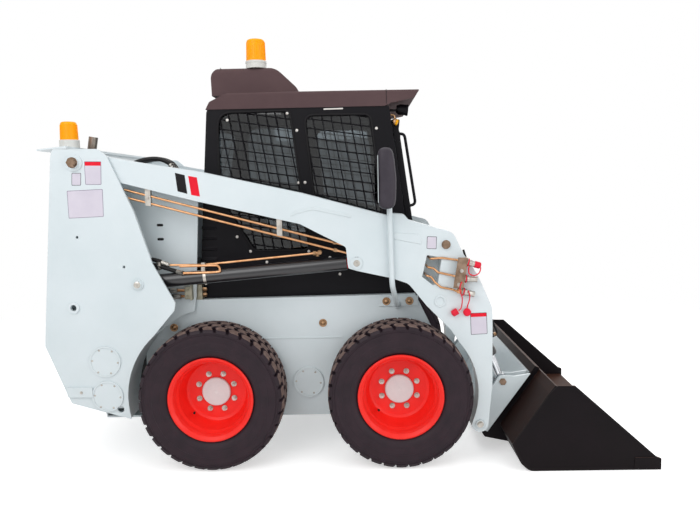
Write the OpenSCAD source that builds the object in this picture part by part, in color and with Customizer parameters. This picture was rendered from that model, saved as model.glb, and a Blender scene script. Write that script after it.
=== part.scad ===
// Wheeled skid steer loader with an enclosed cab and a general purpose bucket.
// +X points forward, +Y to the machine's left, +Z up; the wheels stand on z = 0.
// Profiles are drawn in a side view whose x = 0 lies midway between the axles.

/* [Wheels] */
// Distance between the axles
wheelbase = 980; // [940:5:1040]
// Outer radius of a tyre, out to the lugs' tips
tyre_r = 378; // [370:1:384]
// Width of a tyre
tyre_w = 264; // [240:2:280]
// Distance from the frame's side to the tyre's middle
wheel_out = 155; // [151:1:167]
// Radius of the rim at the bead seat
rim_r = 206; // [200:1:212]
// Radius of the rim's flange
flange_r = 222; // [218:1:230]
// Radius of the circle of wheel studs
stud_circle_r = 101.6; // [95:0.1:110]

/* [Frame] */
// Half width over the chain cases and side panels
frame_half = 545; // [500:1:600]
// Height of the belly above the ground
belly_z = 205; // [190:5:230]
// Height of the side panels' top edge
deck_z = 864; // [850:2:880]
// Thickness of the frame's sheet
sheet = 10; // [8:1:12]
// Distance from an arm's outer face to the tower's outer face
tower_out = 20; // [18:1:26]
// Thickness of the towers' plates
tower_t = 12; // [10:1:14]

/* [Loader arms] */
// Height of the arms' rear pivot
pivot_z = 1605; // [1590:1:1620]
// Distance between the frame's side and an arm
arm_gap = 90; // [86:1:110]
// Width of an arm
arm_w = 110; // [104:1:116]
// Radius of the lift cylinder's barrel
lift_r = 37; // [34:1:39]
// Radius of the tilt cylinder's barrel
tilt_r = 35; // [32:1:37]

/* [Bucket] */
// Distance that the bucket reaches past an arm
bucket_out = 122; // [95:1:135]
// Thickness of the bucket's side plates
bucket_t = 12; // [10:1:16]

/* [Cab] */
// Distance from the frame's side in to the cab's side
cab_in = 45; // [35:1:55]
// Thickness of the cab's walls
wall = 40; // [34:1:44]
// Height of the roof's top face
roof_z = 1972; // [1960:1:1990]

/* [Hidden] */
$fn = 64;

// Named points of the side view, [x, z]
axle_front = [wheelbase / 2, tyre_r];
axle_rear = [-wheelbase / 2, tyre_r];
arm_pivot = [-1145, pivot_z];
lift_base = [-849, 978];
lift_eye = [276, 1066];
tilt_base = [733, 1154];
tilt_eye = [1048, 398];
bucket_pivot = [905, 210];
cross_front = [745, 820];
cross_rear = [-690, 1522];

// Rear face of a tower: upper line from top to foot, then a chamfer down to the heel
tower_rear_top = [-1262, 1640];
tower_rear_foot = [-1349, 664];
tower_rear_heel = [-1245, 398];

// Top of the sheet behind the cab, over the engine
deck_top = 1474;

// Clearances and shared sizes
gap = 0.3;
lamp_t = 28;
chamfer = tower_rear_heel - tower_rear_foot;
chamfer_out = [chamfer.y, -chamfer.x] / norm(chamfer);
lamp_top = tower_rear_foot + 0.10 * chamfer + gap * chamfer_out;
lamp_foot = tower_rear_foot + 0.75 * chamfer + gap * chamfer_out;

// Ends of the machine in the side view; the origin lies midway between them
rear_end = lamp_top.x + lamp_t * chamfer_out.x;
front_end = 1797;
mid_x = (rear_end + front_end) / 2;

// Places across the machine, from the frame outwards
cab_half = frame_half - cab_in;
track_half = frame_half + wheel_out;
tower_inner = frame_half + 15;
arm_inner = frame_half + arm_gap;
arm_mid = arm_inner + arm_w / 2;
arm_half = arm_inner + arm_w;
tower_half = arm_half + tower_out;
bucket_half = arm_half + bucket_out;
tilt_y = arm_inner - 55;

arch_r = tyre_r + 62;
lug_r = 45;
pin_r = 22;

// Side-view shapes

function unit(v) = v / norm(v);

// Points of one corner b between a and c, rounded to radius r
function corner(a, b, c, r, n) =
    r <= 0 ? [b] :
    let (u = unit(a - b), w = unit(c - b), half = acos(u * w) / 2, bis = unit(u + w),
         p = b + u * r / tan(half), q = b + w * r / tan(half), m = b + bis * r / sin(half),
         a0 = atan2(p.y - m.y, p.x - m.x), a1 = atan2(q.y - m.y, q.x - m.x),
         sweep = (a1 - a0) - 360 * round((a1 - a0) / 360))
    [for (i = [0 : n]) m + r * [cos(a0 + sweep * i / n), sin(a0 + sweep * i / n)]];

// Closed outline from points [x, z, corner radius]
function rounded(pts, n = 6) =
    [for (i = [0 : len(pts) - 1])
        let (k = len(pts), a = pts[(i + k - 1) % k], b = pts[i], c = pts[(i + 1) % k])
        each corner([a.x, a.y], [b.x, b.y], [c.x, c.y], is_undef(b[2]) ? 0 : b[2], n)];

function arc(m, r, a0, a1, n = 12) =
    [for (i = [0 : n]) let (a = a0 + (a1 - a0) * i / n) m + r * [cos(a), sin(a)]];

// Moves the side view's x = 0 to the part's origin
module placed() translate([-mid_x, 0, 0]) children();

// Extrudes a side-view shape between two y values
module across(y0, y1) translate([0, y1, 0]) rotate([90, 0, 0]) linear_extrude(y1 - y0) children();

// Round bar along Y
module bar(at, r, y0, y1) translate([at.x, y1, at.y]) rotate([90, 0, 0]) cylinder(r = r, h = y1 - y0);

// Height of the side panels' top edge at x
function ledge_z(x) = deck_z + 6 - 14 * (590 - x) / 1485;

// Pipe through points [x, y, z]
module pipe(points, r) {
    for (i = [1 : len(points) - 1]) {
        d = points[i] - points[i - 1];
        translate(points[i - 1]) rotate([0, acos(d.z / norm(d)), atan2(d.y, d.x)]) cylinder(r = r, h = norm(d));
        if (i < len(points) - 1) translate(points[i]) sphere(r = r * 1.03);
    }
}

// Draws children, modelled on the left (+Y), on side s
module side(s) if (s > 0) children(); else mirror([0, 1, 0]) children();

// Line between two side-view points as a flat strip of the given width
module strip(a, b, w) {
    d = b - a;
    translate(a) rotate(atan2(d.y, d.x)) translate([0, -w / 2]) square([norm(d), w]);
}

// Main frame

module main_frame() placed() color("#d9e2e6") {
    // belly, front and rear sheets of the tub
    across(-frame_half, frame_half) polygon(concat(
        [[-1160, belly_z + 150], [-1130, belly_z], [690, belly_z], [725, 300], [712, 614], [590, 870],
         [578, 870], [700, 610], [712, 300], [682, belly_z + sheet], [-1124, belly_z + sheet],
         [-1150, belly_z + 150]]));
    for (s = [1, -1]) side(s) {
        // chain case
        across(frame_half - 130, frame_half) polygon([[-895, 215], [-860, belly_z], [660, belly_z], [700, 250], [700, 590], [-895, 590]]);
        // round inspection cover
        bar([-3, 391], 85, frame_half, frame_half + 8);
        // side panel with its folded ledge
        across(frame_half - sheet, frame_half) polygon([[-895, 590], [706, 590], [712, 614], [590, deck_z + 6], [-895, deck_z - 8]]);
        across(cab_half + gap, frame_half) polygon([[-640, deck_z - 18], [590, deck_z - 6], [590, deck_z + 6], [-640, deck_z - 6]]);
        // inner upright of the tower
        difference() {
            across(tower_inner, tower_inner + tower_t) polygon(rounded([
                [-1250, 1655, 10], [-1330, 660, 20], [-1236, 400, 0], [-1130, belly_z + 60, 0], [-700, belly_z + 60, 0],
                [-599, 880, 0], [-566, 1424, 30], [-772, 1450, 20], [-802, 1540, 30], [-1040, 1640, 40]]));
            bar(axle_rear, arch_r, 500, 600);
            bar(arm_pivot, 30 + gap, 500, 600);
        }
        // spacer between the side panel and the upright
        across(frame_half, tower_inner) polygon([[-895, 780], [-700, 842], [-620, 846], [-620, 860], [-895, 856]]);
    }
}

// Lid's hinge: axis, radius and places of its knuckles
hinge_r = 9;
lid_axis = [-767, deck_top + 2 * gap + hinge_r];
lid_knuckles = [[-340, -260], [260, 340]];

module engine_deck() placed() color("#d9e2e6") {
    difference() {
        translate([-1228, -tower_inner + gap, deck_top - 12]) cube([628, 2 * (tower_inner - gap), 12]);
        translate([-1160, -390, deck_top - 30]) cube([370, 780, 60]);
    }
    // outer knuckles of the lid's hinge
    for (k = lid_knuckles, y = [k[0] - 30, k[1]]) {
        bar(lid_axis, hinge_r, y + gap, y + 30 - gap);
        translate([lid_axis.x - 4, y + gap, deck_top - 1]) cube([8, 30 - 2 * gap, hinge_r]);
    }
}

module rear_cover() placed() color("#d9e2e6")
    across(-tower_half, tower_half) polygon([
        [-1330, 1668], [-1255, 1676 - gap], [-1180, 1676 - gap], [-1180, 1690], [-1330, 1676]]);

module tower() {
    outer = rounded(concat(
        [tower_rear_top, tower_rear_foot, tower_rear_heel, [-1227, 357, 20], [-920, 269]],
        arc(axle_rear, arch_r, 193, 132, 14),
        [[-668, 839], [-661, 879], [-770, 1084], [-854, 1354, 60], [-977, 1635, 20], [-1022, 1672, 20], [-1251, 1675, 10]]));
    difference() {
        union() {
            across(tower_half - tower_t, tower_half) polygon(outer);
            // rear closing plate
            across(tower_inner + tower_t, tower_half) polygon([tower_rear_top, tower_rear_foot, tower_rear_heel, [-1227, 357],
                [-1216, 360], [-1234, 402], [-1336, 662], [-1251, 1640]]);
            // wheel arch
            across(tower_inner + tower_t, tower_half) difference() {
                polygon(concat(arc(axle_rear, arch_r + 9, 193, 132, 14), arc(axle_rear, arch_r, 132, 193, 14)));
            }
            // covers and bosses
            bar([-1040, 577], 82, tower_half - 1, tower_half + 8);
            bar([-1036, 393], 82, tower_half - 1, tower_half + 8);
            bar(arm_pivot, 44, tower_half - 1, tower_half + 6);
            bar(lift_base, 30, tower_half - 1, tower_half + 8);
            bar([-1187, 863], 30, tower_half - 1, tower_half + 8);
            // pins of the arm and of the lift cylinder
            bar(arm_pivot, 28, tower_inner + gap, tower_half + 20);
            bar(lift_base, 22, tower_inner + tower_t, tower_half + 16);
        }
    }
}
module tower_right() placed() color("#d9e2e6") side(-1) tower();
module tower_left() placed() color("#d9e2e6") side(1) tower();

module axle_tubes() placed() color("#8f9498")
    for (s = [1, -1], a = [axle_front, axle_rear]) side(s) bar(a, 58, frame_half, track_half - 84 - gap);

module engine() placed() color("#3b3e42") {
    for (x = [-1078, -730], y = [-220, 220]) translate([x, y, belly_z + sheet + gap]) cylinder(r = 36, h = 120);
    translate([-1140, -260, 320]) cube([460, 520, 690]);
}

module exhaust() placed() color("#8d8a88")
    {
        translate([-1190, 70 - tower_inner, deck_top + gap]) cylinder(r = 36, h = 12);
        difference() {
            translate([-1190, 70 - tower_inner, deck_top + 8]) rotate([0, 10, 0]) cylinder(r = 24, h = 275);
            translate([-1190, 70 - tower_inner, deck_top + 8]) rotate([0, 10, 0]) translate([0, 0, 60]) cylinder(r = 20, h = 300);
        }
    }

module valve_block() placed() color("#b5b2a6")
    translate([-690, gap - frame_half, ledge_z(-572) + gap]) cube([118, 44, 80]);

// Cab

knuckle_r = 10;
door_hinges = [1050, 1640];
// Door hinge's axis: x ahead of the cab's front edge, y of the axis
door_axis = [24, cab_half - 34];

// Frame on the cab's leaning front edge at height z: local z runs up the edge
module along_door(z, h) translate([cab_front_x(z), 0, z]) rotate([0, -atan(cab_lean), 0]) children();

cab_rear_x = function (z) -595 + 75 * (z - 870) / 1014;
cab_lean = 0.135;
cab_front_x = function (z) 463 + cab_lean * (1884 - z);
cab_front_z = function (x) 1884 - (x - 463) / cab_lean;

module cab_side_profile() difference() {
    polygon(rounded([[cab_rear_x(ledge_z(-595)), ledge_z(-595) + gap], [cab_rear_x(1884), 1884, 20], [cab_front_x(1884), 1884],
                     [590, cab_front_z(590)], [590, ledge_z(590) + gap]]));
    polygon(rounded([[-452, 1850, 70], [-78, 1850, 40], [4, 1180, 40], [-478, 1180, 40]]));
    polygon(rounded([[10, 1848, 50], [385, 1848, 60], [472, 1180, 40], [84, 1180, 40]]));
}
module cab_side() across(cab_half - wall, cab_half) cab_side_profile();
module cab_side_right() placed() color("#1d1b1e") side(-1) cab_side();
module cab_side_left() placed() color("#1d1b1e") side(1) {
    cab_side();
    // lugs that carry the door's hinge knuckles
    for (z = door_hinges) along_door(z, 40) translate([-2, cab_half - wall, 0])
        cube([2 + door_axis.x - knuckle_r - gap, wall, 40]);
}

module cab_rear() placed() color("#1d1b1e") difference() {
    across(-cab_half + wall + gap, cab_half - wall - gap) polygon([
        [cab_rear_x(deck_z), deck_z], [cab_rear_x(1884), 1884], [cab_rear_x(1884) + wall, 1884], [cab_rear_x(deck_z) + wall, deck_z]]);
    translate([-700, -330, 1380]) cube([400, 660, 420]);
}

module cab_front() placed() color("#1d1b1e") {
    inside = cab_half - wall - gap;
    // header over the door and sill under it
    across(-inside, inside) polygon([[cab_front_x(1884) - wall, 1884], [cab_front_x(1884), 1884], [cab_front_x(1830), 1830],
        [cab_front_x(1830) - wall, 1830]]);
    // floor pan on the chain cases
    across(-inside, inside) polygon([[-540, 590 + gap], [-540, 612], [470, 612], [561, 862], [581, 862], [488, 590 + gap]]);
}

// Underside of the visor at x
function visor_z(x) = 1900 + 25 * (x - 470) / 130;

module cab_roof() placed() color("#5f5250")
    across(-cab_half - 5, cab_half + 5) polygon(rounded([
        [-524, 1884 + gap, 0], [-503, 1925, 25], [-410, roof_z - 3, 60], [-20, roof_z, 0], [628, roof_z - 4, 4], [600, 1925, 10],
        [470, 1900, 20], [440, 1884 + gap, 0]]));

module roof_unit() placed() color("#5f5250")
    across(-380, 380) polygon(rounded([
        [-512, roof_z, 0], [-522, 2095, 60], [-490, 2130, 30], [-165, 2130, 120], [-40, 2010, 90], [-24, roof_z, 0]]));

module seat() placed() color("#26262a") {
    translate([-420, -230, 612 + gap]) cube([400, 460, 180]);
    across(-220, 220) polygon(rounded([[-410, 790, 20], [-20, 790, 40], [-20, 890, 40], [-290, 880, 40], [-370, 1420, 40], [-460, 1410, 40]]));
}

module cab_glass() placed() color("#243a3c", 0.5) {
    for (s = [1, -1]) side(s) across(cab_half - 24, cab_half - 18) {
        polygon(rounded([[-452, 1850, 70], [-78, 1850, 40], [4, 1180, 40], [-478, 1180, 40]]));
        polygon(rounded([[10, 1848, 50], [385, 1848, 60], [472, 1180, 40], [84, 1180, 40]]));
    }
    difference() {
        across(-330, 330) polygon([[cab_rear_x(1380) + 18, 1380], [cab_rear_x(1800) + 18, 1800],
            [cab_rear_x(1800) + 24, 1800], [cab_rear_x(1380) + 24, 1380]]);
    }
}

module beacon_bases() placed() color("#d8d8d4") {
    translate([-1229, -tower_inner - 40, 1690]) cylinder(r = 51, h = 32);
    translate([-273, -290, 2130]) cylinder(r = 58, h = 32);
}
module beacon_domes() placed() color("#f28a10") {
    translate([-1229, -tower_inner - 40, 1722]) cylinder(r1 = 48, r2 = 43, h = 104);
    translate([-273, -290, 2162]) cylinder(r1 = 57, r2 = 52, h = 128);
}

module mirror_assembly() {
    // post: foot plate on the side panel, bend under the arm, upright outside it
    post_y = arm_half + 17;
    translate([370, frame_half + gap, 796]) cube([230, 8, 26]);
    pipe([[491, frame_half + 4, 810], [489, 590, 818], [452, post_y, 940], [440, post_y, 1600]], 9);
    // shell that holds the glass
    translate([398, post_y + 2, 1346]) cube([62, 130, 300]);
}
module mirrors() placed() color("#3a383b") for (s = [1, -1]) side(s) mirror_assembly();

module lamps() placed() color("#c02020") {
    for (s = [1, -1]) side(s) {
        across(tower_inner + 40, tower_half - 65) polygon([lamp_top, lamp_top + lamp_t * chamfer_out, lamp_foot + lamp_t * chamfer_out, lamp_foot]);
        translate([510, cab_half - 100, 1872]) rotate([0, 90, 0]) cylinder(r = 30, h = 56);
        translate([530, cab_half - 112, 1890]) cube([16, 24, visor_z(530) - 1890 - gap]);
    }
}

// Loader arms

function arm_outline() = rounded(concat(
    arc(arm_pivot, 60, 255, 80, 12),
    [[-868, 1609, 200], [-513, 1547], [-5, 1431], [435, 1307, 8], [459, 1316, 8], [520, 1312, 12], [545, 1282, 20],
     [703, 1233], [769, 1217, 60], [820, 1107, 60], [894, 995, 60], [966, 829, 40], [970, 786], [970, 421, 60]],
    arc(bucket_pivot, lug_r, 5, -170, 12),
    arc(axle_front, tyre_r + 30, -16, 40, 10),
    [[756, 710, 30], [631, 840, 60], [540, 955, 60], [455, 985], [277, 1026, 26], [232, 1040, 14], [222, 1150, 20],
     [76, 1226, 60], [-10, 1272], [-539, 1399], [-926, 1501]]));

// Underside of the arm's straight rear part at x
function arm_under(x) = x < -539 ? 1501 - 102 * (x + 926) / 387 : 1399 - 127 * (x + 539) / 529;

module arm() difference() {
    across(arm_inner, arm_half) polygon(arm_outline());
    // hollow that holds the lift cylinder's rod eye
    across(arm_mid - 40, arm_mid + 40) polygon([[150, 1000], [340, 1000], [420, 1060], [420, 1190], [300, 1230], [150, 1230]]);
    bar(arm_pivot, 28 + gap, arm_inner - 1, arm_half + 1);
    bar(bucket_pivot, pin_r + gap, arm_inner - 1, arm_half + 1);
}
module arm_right() placed() color("#d9e2e6") side(-1) arm();
module arm_left() placed() color("#d9e2e6") side(1) arm();

module boom_cross() placed() color("#d9e2e6") {
    bar(cross_front, 50, -arm_inner, arm_inner);
    bar(cross_rear, 45, -arm_inner, arm_inner);
    for (s = [1, -1]) side(s) {
        across(tilt_y - 54, tilt_y - 39) polygon(rounded([[700, 810, 20], [790, 820, 20], [775, 1150, 30], [755, 1196, 20], [711, 1196, 20], [691, 1150, 30]]));
        bar(tilt_base, pin_r, tilt_y - 60, arm_inner);
    }
}

module boom_lines() placed() color("#b98a4a")
    for (s = [1, -1]) side(s) {
        for (k = [0, 1]) pipe([[-930, arm_half - 24, 1470 - 38 * k], [150, arm_half - 24, 1176 - 38 * k]], 6);
        for (x = [-800, -130]) across(arm_half - 36, arm_half - 12)
            polygon([[x, arm_under(x) - gap], [x + 26, arm_under(x + 26) - gap], [x + 26, arm_under(x + 26) - 62], [x, arm_under(x) - 62]]);
    }

// Cylinders

module barrel(base, eye, length, r, y, eye_w) {
    a = atan2(eye.y - base.y, eye.x - base.x);
    translate([base.x, y, base.y]) rotate([0, -a, 0]) {
        difference() {
            union() {
                rotate([90, 0, 0]) cylinder(r = r, h = eye_w, center = true);
                translate([pin_r + 12, 0, 0]) rotate([0, 90, 0]) cylinder(r = r, h = length - pin_r - 12);
            }
            rotate([90, 0, 0]) cylinder(r = pin_r + gap, h = 2 * eye_w, center = true);
            translate([0.15 * length, 0, 0]) rotate([0, 90, 0]) cylinder(r = r * 0.55 + gap, h = length);
        }
    }
}
module ram(base, eye, length, r, y, eye_w, eye_r) {
    a = atan2(eye.y - base.y, eye.x - base.x);
    full = norm(eye - base);
    translate([base.x, y, base.y]) rotate([0, -a, 0]) difference() {
        union() {
            translate([full, 0, 0]) rotate([90, 0, 0]) cylinder(r = eye_r, h = eye_w, center = true);
            translate([0.32 * length, 0, 0]) rotate([0, 90, 0]) cylinder(r = r * 0.55, h = full - 0.32 * length - 10);
        }
        translate([full, 0, 0]) rotate([90, 0, 0]) cylinder(r = pin_r + gap, h = 2 * eye_w, center = true);
    }
}
lift_len = norm(lift_eye - lift_base) - 52;
tilt_len = norm(tilt_eye - tilt_base) - 150;
module lift_barrel_right() placed() color("#1f1d20") barrel(lift_base, lift_eye, lift_len, lift_r, -arm_mid, 60);
module lift_barrel_left() placed() color("#1f1d20") barrel(lift_base, lift_eye, lift_len, lift_r, arm_mid, 60);
module lift_rod_right() placed() color("#c9ccd0") ram(lift_base, lift_eye, lift_len, lift_r, -arm_mid, 56, 38);
module lift_rod_left() placed() color("#c9ccd0") ram(lift_base, lift_eye, lift_len, lift_r, arm_mid, 56, 38);
module tilt_barrel_right() placed() color("#1f1d20") barrel(tilt_base, tilt_eye, tilt_len, tilt_r, -tilt_y, 50);
module tilt_barrel_left() placed() color("#1f1d20") barrel(tilt_base, tilt_eye, tilt_len, tilt_r, tilt_y, 50);
module tilt_rod_right() placed() color("#c9ccd0") ram(tilt_base, tilt_eye, tilt_len, tilt_r, -tilt_y, 42, 36);
module tilt_rod_left() placed() color("#c9ccd0") ram(tilt_base, tilt_eye, tilt_len, tilt_r, tilt_y, 42, 36);

// Quick attach and bucket

// Front face of the quick attach plate, from its toe to its head, and the plate's rear foot
attach_toe = [982, 110];
attach_head = [1212, 426];
attach_heel = [966, 122];
attach_out = [attach_head.y - attach_toe.y, attach_toe.x - attach_head.x] / norm(attach_head - attach_toe);

module quick_attach() placed() color("#d9e2e6") {
    for (s = [1, -1]) side(s) {
        for (y = [[tilt_y - 42, tilt_y - 30], [tilt_y + 28, tilt_y + 44]]) across(y[0], y[1]) union() {
            polygon(rounded([[1000, 385, 25], [1030, 432, 30], [1110, 425, 20], [1196, 438, 0], [966, 122, 0], [900, 150, 0], [890, 240, 30]]));
            translate(bucket_pivot) circle(r = lug_r - 2);
        }
        bar(bucket_pivot, pin_r, tilt_y - 42, arm_half + 12);
    }
    across(44 - tilt_y, tilt_y - 44) polygon([attach_head - [16, -12], attach_heel, attach_toe, attach_head]);
}

module bucket_shell() placed() color("#1c191c") {
    half = bucket_half;
    outline = [[1234, 402, 0], [1273, 442, 10], [1362, 440, 10], [1775, 67, 0], [1797, 58, 0], [1797, 6, 0], [1135, 6, 60], [1098, 44, 40], [1052, 146, 0]];
    // sides
    for (s = [1, -1]) side(s) across(half - bucket_t, half) polygon(rounded(outline));
    // mounting plate that the quick attach hooks under and bears on
    across(20 - tilt_y, tilt_y - 20) polygon([attach_toe + gap * attach_out, attach_head + gap * attach_out, attach_head + [26, 38], [1262, 452],
        [1080, 150], [1100, 40], [962, 70], [948, 92], attach_heel - gap * [0.6, 0.8], attach_toe - gap * [0.6, 0.8]]);
    // floor, heel and back sheet
    across(-half + 1, half - 1) polygon(concat(
        rounded([[1797, 0, 0], [1135, 0, 60], [1092, 40, 40], [1046, 142, 0], [1230, 404, 0], [1262, 444, 0]], 6),
        rounded([[1276, 436, 0], [1242, 396, 0], [1060, 142, 0], [1106, 46, 40], [1141, 14, 50], [1700, 14, 0], [1797, 8, 0]], 6)));
}

// Wheels

module tyre_profile() polygon(rounded([[rim_r + gap, -97], [flange_r + 3, -97], [flange_r + 16, -118, 8], [290, -tyre_w / 2, 60], [352, -118, 20],
    [tyre_r, -96, 14], [tyre_r, 96, 14], [352, 118, 20], [290, tyre_w / 2, 60], [flange_r + 16, 118, 8], [flange_r + 3, 97], [rim_r + gap, 97]]));
module rim_profile() polygon([[flange_r, 106], [flange_r, 114], [flange_r - 10, 116], [rim_r - 8, 104], [rim_r - 18, 60], [150, 30],
    [140, -50], [70, -52], [0, -52], [0, -84], [120, -84], [120, -66], [160, -60], [rim_r - 8, 40], [rim_r - 8, -96],
    [flange_r - 10, -112], [flange_r, -110], [flange_r, -102], [rim_r, -98], [rim_r, 98]]);
module wheel_at(a, s) placed() side(s) translate([a.x, track_half, a.y]) rotate([-90, 0, 0]) children();
module tyre(a, s) color("#2e2830") wheel_at(a, s) rotate_extrude() tyre_profile();
module rim(a, s) color("#ee3c28") wheel_at(a, s) rotate_extrude() rim_profile();
module tyre_front_right() tyre(axle_front, -1);
module rim_front_right() rim(axle_front, -1);
module tyre_rear_right() tyre(axle_rear, -1);
module rim_rear_right() rim(axle_rear, -1);
module tyre_front_left() tyre(axle_front, 1);
module rim_front_left() rim(axle_front, 1);
module tyre_rear_left() tyre(axle_rear, 1);
module rim_rear_left() rim(axle_rear, 1);

// Doors and lid

module front_door() placed() color("#1d1b1e") {
    difference() {
        across(48 - cab_half, cab_half - 48) polygon([[cab_front_x(1815) + 6, 1815], [cab_front_x(1815) + 38, 1815], [cab_front_x(905) + 38, 905], [cab_front_x(905) + 6, 905]]);
        translate([300, 115 - cab_half, 1010]) cube([500, 2 * (cab_half - 115), 740]);
    }
    for (z = door_hinges) along_door(z, 40) {
        translate([door_axis.x, door_axis.y, 0]) cylinder(r = knuckle_r, h = 40);
        translate([door_axis.x - 6, cab_half - 60, 4]) cube([12, door_axis.y - cab_half + 60, 32]);
    }
}
gate_hinges = [820, 1400];
gate_lean = (tower_rear_top.x - tower_rear_foot.x) / (tower_rear_top.y - tower_rear_foot.y);
// Gate hinge's axis: x behind the towers' rear face, y of the axis
gate_axis = [-12, tower_inner + tower_t];
function gate_x(z) = tower_rear_foot.x + gate_lean * (z - tower_rear_foot.y);
module tailgate() placed() color("#d9e2e6") {
    across(-tower_inner + 6, tower_inner - 6) polygon([[gate_x(1640) - 8, 1640], [gate_x(664) - 4, 664], [-1330, 480], [-1292, 480],
        [-1309, 664], [-1225, 1640]]);
    for (z = gate_hinges) translate([gate_x(z), 0, z]) rotate([0, atan(gate_lean), 0]) {
        translate([gate_axis.x, gate_axis.y, 0]) cylinder(r = -gate_axis.x - gap, h = 90);
        translate([gate_axis.x - 6, tower_inner - 60, 10]) cube([22, 54, 70]);
        translate([gate_axis.x - 6, tower_inner - 60, 10]) cube([6, 72, 70]);
    }
}
module engine_lid() placed() color("#d9e2e6") {
    translate([-1180, -410, deck_top + gap]) cube([404, 820, 16]);
    for (k = lid_knuckles) {
        bar(lid_axis, hinge_r, k[0], k[1]);
        translate([-780, k[0], lid_axis.y - 3]) cube([lid_axis.x + 780, k[1] - k[0], 6]);
    }
}

main_frame();
engine_deck();
rear_cover();
tower_right();
tower_left();
axle_tubes();
engine();
exhaust();
valve_block();
cab_side_right();
cab_side_left();
cab_rear();
cab_front();
cab_roof();
roof_unit();
seat();
cab_glass();
beacon_bases();
beacon_domes();
mirrors();
lamps();
arm_right();
arm_left();
boom_cross();
boom_lines();
lift_barrel_right();
lift_rod_right();
lift_barrel_left();
lift_rod_left();
tilt_barrel_right();
tilt_rod_right();
tilt_barrel_left();
tilt_rod_left();
quick_attach();
bucket_shell();
tyre_front_right();
rim_front_right();
tyre_rear_right();
rim_rear_right();
tyre_front_left();
rim_front_left();
tyre_rear_left();
rim_rear_left();
front_door();
tailgate();
engine_lid();
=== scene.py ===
# Wheeled skid steer loader, dressed for its render: paint, rubber, glass, bolts, pipes and blank stickers
import math
import bmesh
import bpy
from mathutils import Matrix, Vector


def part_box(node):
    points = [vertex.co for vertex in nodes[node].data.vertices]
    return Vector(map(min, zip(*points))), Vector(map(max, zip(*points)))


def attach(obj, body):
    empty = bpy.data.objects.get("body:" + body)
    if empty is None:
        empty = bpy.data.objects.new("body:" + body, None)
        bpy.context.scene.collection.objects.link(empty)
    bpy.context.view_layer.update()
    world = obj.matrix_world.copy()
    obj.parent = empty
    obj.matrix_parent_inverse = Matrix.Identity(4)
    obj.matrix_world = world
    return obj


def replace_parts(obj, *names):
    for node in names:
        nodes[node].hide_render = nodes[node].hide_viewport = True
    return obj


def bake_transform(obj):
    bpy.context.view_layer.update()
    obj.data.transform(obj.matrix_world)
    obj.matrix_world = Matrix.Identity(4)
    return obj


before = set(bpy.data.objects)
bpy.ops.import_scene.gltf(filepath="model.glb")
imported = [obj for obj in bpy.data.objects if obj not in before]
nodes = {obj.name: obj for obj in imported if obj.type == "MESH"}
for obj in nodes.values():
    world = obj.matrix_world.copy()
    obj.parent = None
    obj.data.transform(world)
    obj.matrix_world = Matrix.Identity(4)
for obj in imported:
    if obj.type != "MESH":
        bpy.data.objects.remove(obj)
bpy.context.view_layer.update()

wheelCorners = {"front_right": -1, "rear_right": -1, "front_left": 1, "rear_left": 1}
sides = {"right": -1, "left": 1}


def nodeCentre(name):
    low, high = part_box(name)
    return (low + high) / 2


# The side view's x = 0 lies midway between the axles; its sizes are millimetres
axleMid = (nodeCentre("rim_front_right").x + nodeCentre("rim_rear_right").x) / 2


def at(x, y, z):
    return Vector((axleMid + x / 1000, y / 1000, z / 1000))


print("stage: frame loaded,", len(nodes), "nodes")


# Colours, nodes and patterns

def hexColour(text):
    values = [int(text[i:i + 2], 16) / 255 for i in (1, 3, 5)]
    return tuple(v / 12.92 if v <= 0.04045 else ((v + 0.055) / 1.055) ** 2.4 for v in values) + (1.0,)


def plug(node, sources):
    for key, source in sources.items():
        node.id_data.links.new(source, node.inputs[key])


def addNode(tree, kind, settings=None, links=None, stops=None):
    node = tree.nodes.new(kind)
    for key, value in (settings or {}).items():
        if isinstance(key, int) or key in node.inputs:
            node.inputs[key].default_value = value
        else:
            setattr(node, key, value)
    plug(node, links or {})
    if stops:
        ramp = node.color_ramp
        while len(ramp.elements) < len(stops):
            ramp.elements.new(0.5)
        for element, (place, colour) in zip(ramp.elements, stops):
            element.position, element.color = place, colour
    return node


def mixedShader(tree, share, first, second):
    mix = addNode(tree, "ShaderNodeMixShader", links={"Fac": share, 1: first, 2: second})
    return mix.outputs["Shader"]


def newMaterial(name, settings):
    material = bpy.data.materials.new(name)
    material.use_nodes = True
    shader = material.node_tree.nodes["Principled BSDF"]
    for key, value in settings.items():
        shader.inputs[key].default_value = value
    return material, material.node_tree, shader


def perMetre(sizeMm):
    return 1000 / sizeMm  # a texture's scale for features of this size


def grey(value):
    return (value, value, value, 1.0)


# Materials

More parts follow.
